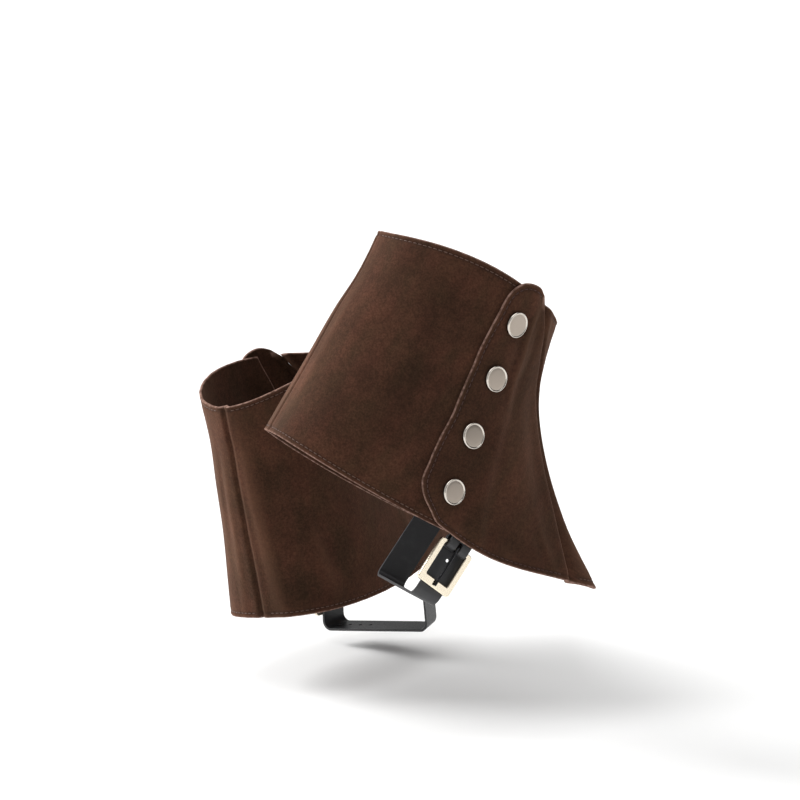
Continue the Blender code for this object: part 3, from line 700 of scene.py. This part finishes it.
def make_cloth(cover, piece, materials):
    """One suede panel with its thickness, and the stitches along its cut edges."""
    panel = PANELS[piece] | {"cover": cover, "piece": piece}
    panel["seed"] = SEEDS[cover["name"]] + list(PANELS).index(piece)
    panel["edges"] = [(kind, to_plan(line, panel["origin"])) for kind, line in panel_edges(piece)]
    flat, triangles = cut_cloth(panel["edges"])
    girth, height = from_plan(flat, panel["origin"]).T
    whole = whole_rise(panel, flat, girth, height)
    base, out = form_points(girth, height), facings(girth, height)
    cut = kind_distance(flat, panel["edges"], ("cut", "hidden"))
    rounding = EDGE_DROP * (1 - np.clip(cut / EDGE_ROUND, 0, 1)) ** 2
    seam = kind_distance(flat, panel["edges"], ("seam",))
    depth = WALL - rounding + ALLOWANCE * (1 - smooth_step(seam / ALLOWANCE_REACH))
    outer = base + out * (whole + surface_rise(flat, panel["edges"]))[:, None]
    inner = base + out * (whole - depth)[:, None]
    directed = np.vstack([triangles[:, [0, 1]], triangles[:, [1, 2]], triangles[:, [2, 0]]])
    known = {tuple(edge) for edge in directed.tolist()}
    border = sorted(edge for edge in known if edge[::-1] not in known)
    rim = sorted({a for edge in border for a in edge})
    count = len(flat)
    middle_of = {a: 2 * count + k for k, a in enumerate(rim)}
    faces = triangles.tolist() + (triangles[:, ::-1] + count).tolist()
    for a, b in border:
        faces.append((b, a, middle_of[a], middle_of[b]))
        faces.append((middle_of[b], middle_of[a], a + count, b + count))
    points = np.vstack([outer, inner, (outer[rim] + inner[rim]) / 2])
    cloth = make_piece(cover, f"{piece}_cloth", points, faces, materials["suede"])
    raw = np.exp(-((cut / RAW_REACH) ** 2))
    keep(cloth, "raw_edge", np.concatenate([raw, raw, raw[rim]]))
    sewn = kind_distance(flat, panel["edges"], ("cut",))
    # The stitch groove is painted darker as painted shade.
    groove_shade = np.exp(-(((sewn - STITCH_INSET) / GROOVE_SHADE_REACH) ** 2))
    keep(cloth, "groove_shade", np.concatenate([groove_shade, groove_shade * 0, groove_shade[rim] * 0]))
    # Fold crests are painted lighter as a painted highlight; near the cut edges the lightening is wear.
    crest = folds(girth, height, SMALL_FOLDS[cover["name"]]) + folds(girth, height, MAIN_FOLDS) / 2
    crest_highlight_and_edge_wear = np.clip(crest, 0, 1) + EDGE_WEAR * np.exp(-cut / EDGE_WEAR_REACH)
    keep(cloth, "crest_highlight_and_edge_wear", np.concatenate([crest_highlight_and_edge_wear, crest_highlight_and_edge_wear * 0, crest_highlight_and_edge_wear[rim]]))
    nap = np.column_stack([flat, np.full(count, panel["seed"])]) * MM
    keep(cloth, "nap", np.vstack([nap, nap + (0, 0, WALL * MM), nap[rim]]))
    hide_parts(f"{cover['name']}_{piece}")
    stitches = make_stitches(panel, materials)


def keep(thing, name, values):
    """Stores a number or a place at each mesh point, for the material to read."""
    values = np.asarray(values, np.float32)
    kind, key = ("FLOAT", "value") if values.ndim == 1 else ("FLOAT_VECTOR", "vector")
    thing.data.attributes.new(name, kind, "POINT").data.foreach_set(key, values.ravel())


def make_stitches(panel, materials):
    """A row of thread stitches inside each cut edge, on the outer face."""
    outline = np.vstack([line[:-1] for _kind, line in panel["edges"]] + [panel["edges"][0][1][:1]])
    parts = np.linspace(-0.5, 0.5, len(STITCH_RISE))
    centres, outs = [], []
    for kind, line in panel["edges"]:
        if kind != "cut":
            continue
        row = inward(line, STITCH_INSET)
        row = row[distances(row, outline) > STITCH_INSET * STITCH_SLACK]
        along = lengths_along(row)
        middles = np.arange(STITCH_PITCH, along[-1] - STITCH_PITCH, STITCH_PITCH)
        at = (middles[:, None] + parts[None, :] * STITCH_LENGTH).ravel()
        flat = np.stack([np.interp(at, along, row[:, k]) for k in range(2)], axis=1)
        girth, height = from_plan(flat, panel["origin"]).T
        rise = whole_rise(panel, flat, girth, height) + surface_rise(flat, panel["edges"])
        rise += np.tile(STITCH_RISE, len(middles))
        out = facings(girth, height)
        centres.append(form_points(girth, height) + out * rise[:, None])
        outs.append(out)
    points, faces = tubes(np.vstack(centres), np.vstack(outs), len(parts), THREAD_RADIUS, THREAD_SIDES)
    name = f"{panel['piece']}_stitches"
    return make_piece(panel["cover"], name, points, faces, materials[panel["thread"]])


def bridge(start, end, sides):
    """Faces between two rings of points, each ring given by the number of its first point."""
    pairs = [(k, (k + 1) % sides) for k in range(sides)]
    return [(start + k, end + k, end + after, start + after) for k, after in pairs]


def tubes(centre, out, rings, radius, sides):
    """Points and faces of closed round tubes, each through the next few rings of the centre points."""
    lines = centre.reshape(-1, rings, 3)
    run = np.gradient(lines, axis=1).reshape(-1, 3)
    across = unit(np.cross(out, run))
    upward = unit(np.cross(run, across))
    angles = np.linspace(0, 2 * math.pi, sides, endpoint=False)[None, :, None]
    circle = np.cos(angles) * across[:, None, :] + np.sin(angles) * upward[:, None, :]
    points = (centre[:, None, :] + circle * radius).reshape(-1, 3)
    faces = []
    for tube in range(len(lines)):
        start = tube * rings * sides
        end = start + (rings - 1) * sides
        for here in range(start, end, sides):
            faces += bridge(here + sides, here, sides)
        faces.append(tuple(start + k for k in reversed(range(sides))))
        faces.append(tuple(end + k for k in range(sides)))
    return points, faces


def make_snap(cover, number, girth, height, materials):
    """A snap's cap: a flat satin top in a rolled rim painted bright as a painted highlight, with its foot
    painted dark as painted shadow, pressed a little into the cloth.
    """
    name = cover["name"]
    reach, climb = SNAP_REST / float(half_girths(height)), SNAP_REST / HEIGHT
    at = girth + np.array([0, reach, -reach, 0, 0])
    level = height + np.array([0, 0, 0, climb, -climb])
    rise = cloth_rise(name, at, level) + flap_lift(at, level)
    cloth = form_points(at, level) + facings(at, level) * rise[:, None]
    out = Vector(np.cross(cloth[1] - cloth[2], cloth[3] - cloth[4])).normalized()
    foot = Vector(cloth[0])
    turn = UP.rotation_difference(out).to_matrix()
    points = [foot + turn @ Vector((0, 0, SNAP_PROFILE[0][1]))]
    for radius, up in SNAP_PROFILE:
        for k in range(SNAP_SIDES):
            angle = 2 * math.pi * k / SNAP_SIDES
            points.append(foot + turn @ Vector((radius * math.cos(angle), radius * math.sin(angle), up)))
    faces = [(0, 1 + k, 1 + (k + 1) % SNAP_SIDES) for k in range(SNAP_SIDES)]
    bottom = 1 + (len(SNAP_PROFILE) - 1) * SNAP_SIDES
    for upper in range(1, bottom, SNAP_SIDES):
        faces += bridge(upper, upper + SNAP_SIDES, SNAP_SIDES)
    faces.append(tuple(bottom + k for k in reversed(range(SNAP_SIDES))))
    cap = make_piece(cover, f"snap_{number}_cap", points, faces, materials["cap"])
    radius, up = np.vstack([(0.0, SNAP_FOOT), np.repeat(SNAP_PROFILE, SNAP_SIDES, axis=0)]).T
    # These marks carry the rim's painted highlight and the foot's painted shadow; the rim's lower roughness
    # is real polish.
    keep(cap, "rolled_rim", radius > SNAP_FLAT)
    keep(cap, "foot_shadow", up < SNAP_FOOT)
    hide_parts(f"{name}_snap_{number}")


def buckle_axes():
    """The buckle's own axes: across the strap, down along it and out of the foot."""
    turn = Matrix.Rotation(math.radians(-STRAP_TURN), 3, "Z")
    level_across = turn.inverted() @ Vector((0, 1, 0))
    lean, slant = math.radians(BUCKLE_LEAN), math.radians(BUCKLE_SLANT)
    level_out = turn.inverted() @ Vector((1, 0, 0))
    plumb = level_out * math.sin(lean) + Vector((0, 0, -1)) * math.cos(lean)
    out = level_out * math.cos(lean) + Vector((0, 0, 1)) * math.sin(lean)
    across = level_across * math.cos(slant) + plumb * math.sin(slant)
    down = plumb * math.cos(slant) - level_across * math.sin(slant)
    return across, down, out


def on_buckle(across_by, down_by, out_by):
    """A place given in the buckle's axes, from the middle of its top bar."""
    across, down, out = buckle_axes()
    middle = Vector((BUCKLE_TOP[0], BUCKLE_Y, BUCKLE_TOP[1]))
    return middle + across * across_by + down * down_by + out * out_by


def rounded_corners(half_width, top, bottom, radius, steps=8):
    """Corners of a rounded rectangle, as pairs of across and down, going round once."""
    middles = (
        (half_width - radius, bottom - radius, 0),
        (-half_width + radius, bottom - radius, 90),
        (-half_width + radius, top + radius, 180),
        (half_width - radius, top + radius, 270),
    )
    line = []
    for across, down, first in middles:
        for k in range(steps + 1):
            angle = math.radians(first + 90 * k / steps)
            line.append((across + radius * math.cos(angle), down + radius * math.sin(angle)))
    return line


def outward(points, faces):
    """The faces again, turned so that they enclose a positive volume."""
    volume = 0.0
    for face in faces:
        for a, b in zip(face[1:], face[2:], strict=False):
            volume += Vector(points[face[0]]).dot(Vector(points[a]).cross(Vector(points[b])))
    return faces if volume > 0 else [tuple(reversed(face)) for face in faces]


def round_edges(thing, width, segments):
    """Rounds a hard-edged piece's edges and shades it smooth between its flat faces."""
    bevel = thing.modifiers.new("rounded edges", "BEVEL")
    bevel.width = width * MM
    bevel.segments = segments
    bevel.limit_method = "ANGLE"
    bevel.angle_limit = math.radians(BEVEL_ANGLE)
    bevel.harden_normals = True
    thing.data.shade_smooth()


def make_buckle(cover, materials):
    """The buckle's rectangular frame."""
    top = -BUCKLE_TOP_BAR / 2
    bottom = top + BUCKLE_HEIGHT
    half = BUCKLE_WIDTH / 2
    outline = rounded_corners(half, top, bottom, BUCKLE_CORNER)
    window = rounded_corners(
        half - BUCKLE_SIDE_BAR, top + BUCKLE_TOP_BAR, bottom - BUCKLE_END_BAR, BUCKLE_WINDOW_CORNER
    )
    count = len(outline)
    points = []
    for loop in (outline, window):
        for out_by in (BUCKLE_THICK / 2, -BUCKLE_THICK / 2):
            points += [on_buckle(across, down, out_by) for across, down in loop]
    outer_front, outer_back, inner_front, inner_back = (n * count for n in range(4))
    faces = bridge(outer_front, inner_front, count) + bridge(inner_back, outer_back, count)
    faces += bridge(outer_back, outer_front, count) + bridge(inner_front, inner_back, count)
    frame = make_piece(cover, "buckle_frame", points, outward(points, faces), materials["nickel"])
    round_edges(frame, BUCKLE_BEVEL, METAL_SEGMENTS)
    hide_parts(f"{cover['name']}_buckle")


def strip(line, half_width, thick, place):
    """Points and faces of a flat strip of constant width along a line of pairs, placed by place()."""
    points = []
    for k, here in enumerate(line):
        before, after = Vector(line[max(k - 1, 0)]), Vector(line[min(k + 1, len(line) - 1)])
        run_in = (Vector(here) - before).normalized() if k > 0 else (after - Vector(here)).normalized()
        run_out = (after - Vector(here)).normalized() if k < len(line) - 1 else run_in
        run = (run_in + run_out).normalized()
        side = Vector((-run.y, run.x)) * thick / 2 / max(run.dot(run_in), MITRE_LIMIT)
        for across in (-half_width, half_width):
            for sign in (1, -1):
                points.append(place(across, *(Vector(here) + side * sign)))
    faces = [(0, 1, 3, 2)]
    for k in range(len(line) - 1):
        a, b = 4 * k, 4 * (k + 1)
        for p, q in ((0, 1), (1, 3), (3, 2), (2, 0)):
            faces.append((a + q, a + p, b + p, b + q))
    last = 4 * (len(line) - 1)
    faces.append((last + 2, last + 3, last + 1, last))
    return points, outward(points, faces)


def arc(middle, radius, start, end, steps):
    """Points of an arc in a plane, from one angle to another in degrees."""
    angles = [math.radians(start + (end - start) * k / steps) for k in range(steps + 1)]
    return [(middle[0] + radius * math.cos(a), middle[1] + radius * math.sin(a)) for a in angles]


def cut_out(thing, cover, points, faces):
    """Cuts a piece with a closed mesh, given by points in the cover's axes."""
    mesh = bpy.data.meshes.new("cutter")
    mesh.from_pydata(in_frame(cover, points), [], faces)
    turned = bmesh.new()
    turned.from_mesh(mesh)
    bmesh.ops.recalc_face_normals(turned, faces=turned.faces)
    turned.to_mesh(mesh)
    turned.free()
    cutter = add_object("cutter", mesh)
    cut = thing.modifiers.new("cut", "BOOLEAN")
    cut.operation = "DIFFERENCE"
    cut.object = cutter
    graph = bpy.context.evaluated_depsgraph_get()
    whole = bpy.data.meshes.new_from_object(thing.evaluated_get(graph))
    thing.modifiers.remove(cut)
    thing.data = whole
    bpy.data.objects.remove(cutter)


def make_tab(cover, materials):
    """The tab: a strip folded round the buckle's top bar, with a slot where the tongue's eye turns."""
    line = [(-TAB_RISE, TAB_FOLD * TAB_PINCH), (-TAB_RISE / 2, TAB_FOLD), (-TAB_STRAIGHT, TAB_FOLD)]
    line += arc((0.0, 0.0), TAB_FOLD, 90, -90, TAB_FOLD_STEPS)
    line += [(-TAB_STRAIGHT, -TAB_FOLD), (-TAB_RISE / 2, -TAB_FOLD)]
    points, faces = strip(line, TAB_WIDTH / 2, STRAP_THICK, on_buckle)
    tab = make_piece(cover, "tab_strip", points, faces, materials["strap"])
    across, down, out = (size / 2 for size in SLOT_SIZE)
    signs = itertools.product((-1, 1), repeat=3)
    corners = [on_buckle(a * across, SLOT_DOWN + b * down, c * out) for a, b, c in signs]
    box = [(0, 1, 3, 2), (4, 6, 7, 5), (0, 4, 5, 1), (2, 3, 7, 6), (0, 2, 6, 4), (1, 5, 7, 3)]
    cut_out(tab, cover, corners, box)
    round_edges(tab, STRAP_BEVEL, STRAP_SEGMENTS)
    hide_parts(f"{cover['name']}_tab")


def make_tongue(cover, materials):
    """The buckle's tongue: a round wire with an eye round the top bar, resting on the lower bar."""
    half = TONGUE_THICK / 2
    eye = BUCKLE_TOP_BAR / 2 + GAP + half + FOLD_EASE
    rest_down = BUCKLE_HEIGHT - BUCKLE_TOP_BAR / 2 - BUCKLE_END_BAR / 2
    rest_out = BUCKLE_THICK / 2 + GAP + half
    line = [(-math.sin(math.radians(a)) * eye, math.cos(math.radians(a)) * eye) for a in TONGUE_EYE]
    line.append((eye + TONGUE_NECK[0], eye + TONGUE_NECK[1]))
    line.append((rest_down * TONGUE_BOW[0], rest_out + TONGUE_BOW[1]))
    line.append((rest_down + TONGUE_TIP, rest_out))
    across = np.array(buckle_axes()[0])
    centre = np.array([on_buckle(0, *pair) for pair in line])
    out = unit(np.cross(across, np.gradient(centre, axis=0)))
    points, faces = tubes(centre, out, len(line), half, TONGUE_SIDES)
    tongue = make_piece(cover, "tongue_pin", points, faces, materials["tongue_dark_reflection"])
    round_edges(tongue, half / 2, METAL_SEGMENTS)
    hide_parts(f"{cover['name']}_tongue")


def make_strap(cover, materials):
    """The strap: from behind the tab through the buckle, round the sole and up inside the inner panel."""
    behind = -BUCKLE_THICK / 2 - GAP - STRAP_THICK / 2 - STRAP_BEHIND
    tucked = -TAB_FOLD - STRAP_THICK - GAP - STRAP_BEHIND
    start = on_buckle(STRAP_SHIFT, STRAP_START, tucked)
    bend = on_buckle(STRAP_SHIFT, STRAP_BEND, tucked)
    ahead = on_buckle(STRAP_SHIFT, BUCKLE_HEIGHT - BUCKLE_END_BAR - BUCKLE_TOP_BAR, behind)
    low = on_buckle(STRAP_SHIFT, BUCKLE_HEIGHT + STRAP_RUN_OUT, behind)
    down = buckle_axes()[1]
    line = [(point.x, point.z) for point in (start, bend, ahead)]
    lean = math.atan2(down.x, -down.z)
    outer_middle = (low.x - math.cos(lean) * SOLE_BEND, low.z - math.sin(lean) * SOLE_BEND)
    line += arc(outer_middle, SOLE_BEND, math.degrees(lean), -90, BEND_STEPS)
    line += arc((SOLE_INNER, outer_middle[1]), SOLE_BEND, -90, INNER_BEND_END, BEND_STEPS)
    under_cloth = -(WALL + GAP + STRAP_THICK / 2 + STRAP_END_EASE)
    for girth, height in STRAP_END:
        at, level = np.array([girth]), np.array([height])
        sewn = form_points(at, level) + facings(at, level) * (under_cloth + folds(at, level, MAIN_FOLDS))
        line.append((sewn[0][0], sewn[0][2]))

    def place(across_by, x, z):
        share = min(max(x / start.x, -1.0), 1.0)
        turn = math.radians(STRAP_TURN) * share
        drift = (x - start.x) * STRAP_DRIFT + min(z - start.z, 0.0) * down.y / down.z
        return Vector((x - math.sin(turn) * across_by, start.y + drift + math.cos(turn) * across_by, z))

    points, faces = strip(line, STRAP_WIDTH / 2, STRAP_THICK, place)
    strap = make_piece(cover, "strap_strip", points, faces, materials["strap"])
    along = lengths_along(np.array(line))
    columns = np.array(line).T
    for at in HOLES_AT:
        ends = (at, at + HOLE_AIM)
        here, near = ([float(np.interp(end, along, column)) for column in columns] for end in ends)
        run = (place(0, *near) - place(0, *here)).normalized()
        side = (place(1, *here) - place(0, *here)).normalized()
        through = run.cross(side)
        rings = []
        for end in (-HOLE_CUT, HOLE_CUT):
            for k in range(HOLE_SIDES):
                angle = 2 * math.pi * k / HOLE_SIDES
                spoke = run * math.cos(angle) + side * math.sin(angle)
                rings.append(place(0, *here) + through * end * STRAP_THICK + spoke * HOLE_RADIUS)
        walls = bridge(HOLE_SIDES, 0, HOLE_SIDES)
        walls += [tuple(range(HOLE_SIDES)), tuple(range(HOLE_SIDES, 2 * HOLE_SIDES))]
        cut_out(strap, cover, rings, walls)
    round_edges(strap, STRAP_BEVEL, STRAP_SEGMENTS)
    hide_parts(f"{cover['name']}_strap")


def new_material(name, colour, roughness, metallic=0.0):
    """A Principled material with its nodes ready to add to."""
    material = bpy.data.materials.new(name)
    material.use_nodes = True
    shader = material.node_tree.nodes["Principled BSDF"]
    shader.inputs["Base Color"].default_value = (*colour, 1.0)
    shader.inputs["Roughness"].default_value = roughness
    shader.inputs["Metallic"].default_value = metallic
    return material, material.node_tree, shader


def add_noise(tree, noise, place=None):
    """The value of a noise texture in metres, in the object's own space or at places kept in the mesh."""
    scale, detail, *stretch = noise
    place = place or tree.nodes.new("ShaderNodeTexCoord").outputs["Object"]
    if stretch:
        mapping = tree.nodes.new("ShaderNodeMapping")
        mapping.inputs["Scale"].default_value = stretch[0]
        tree.links.new(place, mapping.inputs["Vector"])
        place = mapping.outputs["Vector"]
    texture = tree.nodes.new("ShaderNodeTexNoise")
    texture.inputs["Scale"].default_value = scale
    texture.inputs["Detail"].default_value = detail
    tree.links.new(place, texture.inputs["Vector"])
    return texture.outputs["Fac"]


def add_range(tree, value, low, high, to_low, to_high):
    """Maps a value from one range to another, held within it."""
    node = tree.nodes.new("ShaderNodeMapRange")
    for name, number in (("From Min", low), ("From Max", high), ("To Min", to_low), ("To Max", to_high)):
        node.inputs[name].default_value = number
    tree.links.new(value, node.inputs["Value"])
    return node.outputs["Result"]


def add_mix(tree, share, first, second):
    """Mixes two colours, each a socket or a colour, by a share that is a socket."""
    node = tree.nodes.new("ShaderNodeMix")
    node.data_type = "RGBA"
    tree.links.new(share, node.inputs["Factor"])
    for name, colour in (("A", first), ("B", second)):
        socket = next(s for s in node.inputs if s.name == name and s.type == "RGBA")
        if isinstance(colour, tuple):
            socket.default_value = (*colour, 1.0)
        else:
            tree.links.new(colour, socket)
    return next(s for s in node.outputs if s.type == "RGBA")


def add_brightness(tree, colour, value):
    """Multiplies a colour's brightness by a value."""
    node = tree.nodes.new("ShaderNodeHueSaturation")
    tree.links.new(colour, node.inputs["Color"])
    tree.links.new(value, node.inputs["Value"])
    return node.outputs["Color"]


def add_attribute(tree, name, output="Fac"):
    """A number, or with the output "Vector" a place, kept at the mesh's points."""
    node = tree.nodes.new("ShaderNodeAttribute")
    node.attribute_name = name
    return node.outputs[output]


def add_bump(tree, height, distance, strength, below=None):
    """A bump from a height, on top of another bump where one is given."""
    node = tree.nodes.new("ShaderNodeBump")
    node.inputs["Distance"].default_value = distance
    node.inputs["Strength"].default_value = strength
    tree.links.new(height, node.inputs["Height"])
    if below is not None:
        tree.links.new(below, node.inputs["Normal"])
    return node.outputs["Normal"]


def suede_material():
    """Brown suede: patches where the nap lies another way, a fine grain, pale raw edges, a painted highlight
    on fold crests and wear along the cut edges.
    """
    material, tree, shader = new_material("brown_suede", SUEDE_MID, SUEDE_ROUGHNESS)
    nap = add_attribute(tree, "nap", "Vector")
    clouds = add_noise(tree, CLOUDS, nap)
    broad = add_range(tree, add_noise(tree, BROAD_NAP, nap), *BAND, *FULL)
    brushed = add_range(tree, add_noise(tree, BRUSHED_NAP, nap), *BAND, *FULL)
    patches = add_range(tree, add_noise(tree, PATCHES, nap), *PATCH_BAND, *FULL)
    tufts = add_noise(tree, TUFTS, nap)
    grain = add_noise(tree, GRAIN)
    tone = add_mix(tree, broad, SUEDE_DARK, SUEDE_MID)
    hue = add_mix(tree, brushed, SUEDE_OLIVE, SUEDE_WARM)
    colour = add_mix(tree, add_range(tree, patches, *FULL, *HUE_SHARE), tone, hue)
    for noise, tones in ((clouds, CLOUD_TONES), (tufts, TUFT_TONES), (grain, GRAIN_TONES)):
        colour = add_brightness(tree, colour, add_range(tree, noise, *tones))
    # Painted highlight on fold crests (with wear at the cut edges), then painted shade in the stitch grooves.
    for name, share, paint in (("crest_highlight_and_edge_wear", CREST_HIGHLIGHT_AND_WEAR_SHARE, SUEDE_HIGHLIGHT_AND_WEAR), ("groove_shade", GROOVE_SHADE_SHARE, SUEDE_GROOVE_SHADE)):
        colour = add_mix(tree, add_range(tree, add_attribute(tree, name), *share), colour, paint)
    raw = add_range(tree, add_attribute(tree, "raw_edge"), *RAW_SHARE)
    raw_colour = add_mix(tree, add_range(tree, tufts, *BAND, *RAW_TUFTS), colour, SUEDE_RAW)
    colour = add_mix(tree, raw, colour, raw_colour)
    tree.links.new(colour, shader.inputs["Base Color"])
    soft = add_bump(tree, brushed, *BRUSHED_BUMP)
    tree.links.new(add_bump(tree, grain, *GRAIN_BUMP, soft), shader.inputs["Normal"])
    shader.inputs["Sheen Weight"].default_value = SHEEN_WEIGHT
    shader.inputs["Sheen Roughness"].default_value = SHEEN_ROUGHNESS
    shader.inputs["Sheen Tint"].default_value = (*SUEDE_SHEEN, 1.0)
    shader.inputs["Specular IOR Level"].default_value = SUEDE_SPECULAR
    return material


def thread_material(name, colour, shade):
    """Twisted thread."""
    material, tree, shader = new_material(name, colour, THREAD_ROUGHNESS)
    twist = tree.nodes.new("ShaderNodeTexWave")
    twist.bands_direction = "DIAGONAL"
    twist.inputs["Scale"].default_value, twist.inputs["Distortion"].default_value = THREAD_TWIST
    place = tree.nodes.new("ShaderNodeTexCoord").outputs["Object"]
    tree.links.new(place, twist.inputs["Vector"])
    strands = twist.outputs["Fac"]
    tree.links.new(add_bump(tree, strands, *THREAD_BUMP), shader.inputs["Normal"])
    tree.links.new(add_mix(tree, strands, shade, colour), shader.inputs["Base Color"])
    return material


def nickel_material(name, colour, satin, rim_highlight_colour=None):
    """Satin nickel with faint polishing marks, and where a rim colour is given, a smooth rim with a painted
    highlight and a painted shadow at the cap's foot.
    """
    material, tree, shader = new_material(name, colour, satin[1], 1.0)
    marks = add_noise(tree, MARKS)
    roughness = add_range(tree, marks, *SATIN_BAND, *satin)
    if rim_highlight_colour:
        rim = add_attribute(tree, "rolled_rim")
        # The rim is painted brighter as a painted highlight, and the side below SNAP_FOOT is painted near
        # black as painted shadow.
        highlighted_rim_colour = add_mix(tree, rim, colour, rim_highlight_colour)
        foot_shadow = add_mix(tree, add_attribute(tree, "foot_shadow"), highlighted_rim_colour, CAP_FOOT_SHADOW_COLOUR)
        tree.links.new(foot_shadow, shader.inputs["Base Color"])
        polish = tree.nodes.new("ShaderNodeMath")
        polish.operation = "MULTIPLY_ADD"
        tree.links.new(rim, polish.inputs[0])
        polish.inputs[1].default_value = RIM_POLISH
        tree.links.new(roughness, polish.inputs[2])
        roughness = polish.outputs["Value"]
    tree.links.new(roughness, shader.inputs["Roughness"])
    tree.links.new(add_bump(tree, marks, *MARKS_BUMP), shader.inputs["Normal"])
    return material


def strap_material():
    """Black coated leather with a fine even grain."""
    material, tree, shader = new_material("black_strap", STRAP_COLOUR, LEATHER_SATIN[0])
    grain = add_noise(tree, LEATHER_GRAIN)
    tree.links.new(add_range(tree, grain, *SATIN_BAND, *LEATHER_SATIN), shader.inputs["Roughness"])
    tree.links.new(add_bump(tree, grain, *LEATHER_BUMP), shader.inputs["Normal"])
    scuffs = add_range(tree, add_noise(tree, SCUFFS), *SCUFF_SHARE)
    tree.links.new(add_mix(tree, scuffs, STRAP_COLOUR, STRAP_SCUFF), shader.inputs["Base Color"])
    return material


def make_floor():
    """A plain pale floor."""
    bpy.ops.mesh.primitive_plane_add(size=FLOOR_SIZE, location=(0, 0, FLOOR_Z))
    floor = bpy.context.object
    floor.name = "floor"
    floor.data.materials.append(new_material("pale_floor", FLOOR_COLOUR, FLOOR_ROUGHNESS)[0])
    floor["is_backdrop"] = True


def make_camera():
    """The camera at the photograph's viewing angle."""
    data = bpy.data.cameras.new("camera")
    data.lens = CAMERA_LENS
    data.clip_end = CAMERA_REACH
    camera = add_object("camera", data)
    camera.location = CAMERA_PLACE
    aim = Vector(CAMERA_AIM) - Vector(CAMERA_PLACE)
    camera.rotation_euler = aim.to_track_quat("-Z", "Y").to_euler()
    bpy.context.scene.camera = camera


def make_lights():
    """Soft studio light, from the camera's left most of all."""
    for name, way, angle, strength in LIGHTS:
        data = bpy.data.lights.new(name, "SUN")
        data.angle = math.radians(angle)
        data.energy = strength
        light = add_object(name, data)
        light.location = Vector(LIGHT_AIM) + Vector(way)
        light.rotation_euler = Vector(way).to_track_quat("Z", "Y").to_euler()
    world = bpy.data.worlds.new("studio")
    bpy.context.scene.world = world
    world.use_nodes = True
    tree = world.node_tree
    side = tree.nodes.new("ShaderNodeVectorMath")
    side.operation = "DOT_PRODUCT"
    tree.links.new(tree.nodes.new("ShaderNodeTexCoord").outputs["Generated"], side.inputs[0])
    side.inputs[1].default_value = WORLD_BRIGHT_SIDE
    background = tree.nodes["Background"]
    background.inputs["Color"].default_value = (1.0, 1.0, 1.0, 1.0)
    strength = add_range(tree, side.outputs["Value"], -1.0, 1.0, *WORLD_STRENGTHS)
    tree.links.new(strength, background.inputs["Strength"])


def make_cover(name, materials):
    """Every piece of one cover."""
    cover = {"name": name, "matrix": pose_matrix(name)}
    for piece in PANELS:
        make_cloth(cover, piece, materials)
    for number, (girth, height, _pull) in enumerate(SNAPS, start=1):
        make_snap(cover, number, girth, height, materials)
    make_tab(cover, materials)
    make_buckle(cover, materials)
    make_tongue(cover, materials)
    make_strap(cover, materials)


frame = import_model()
cad_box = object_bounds()
bpy.context.scene.view_settings.view_transform = "Standard"
make_camera()
make_lights()
make_floor()
finishes = {
    "suede": suede_material(),
    "thread": thread_material("brown_thread", THREAD_COLOUR, THREAD_SHADE),
    "dark_thread": thread_material("dark_brown_thread", DARK_THREAD_COLOUR, DARK_THREAD_SHADE),
    "cap": nickel_material("snap_nickel", CAP_COLOUR, CAP_SATIN, CAP_RIM_HIGHLIGHT_COLOUR),
    "nickel": nickel_material("buckle_nickel", BUCKLE_COLOUR, BUCKLE_SATIN),
    # The tongue's finish is painted dark as a painted reflection.
    "tongue_dark_reflection": nickel_material("tongue_nickel", TONGUE_DARK_REFLECTION_COLOUR, TONGUE_SATIN),
    "strap": strap_material(),
}
for cover_name in POSES:
    make_cover(cover_name, finishes)
boxes = {"cad": cad_box, "visual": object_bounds()}
boxes = {name: [[float(value) for value in corner] for corner in box] for name, box in boxes.items()}
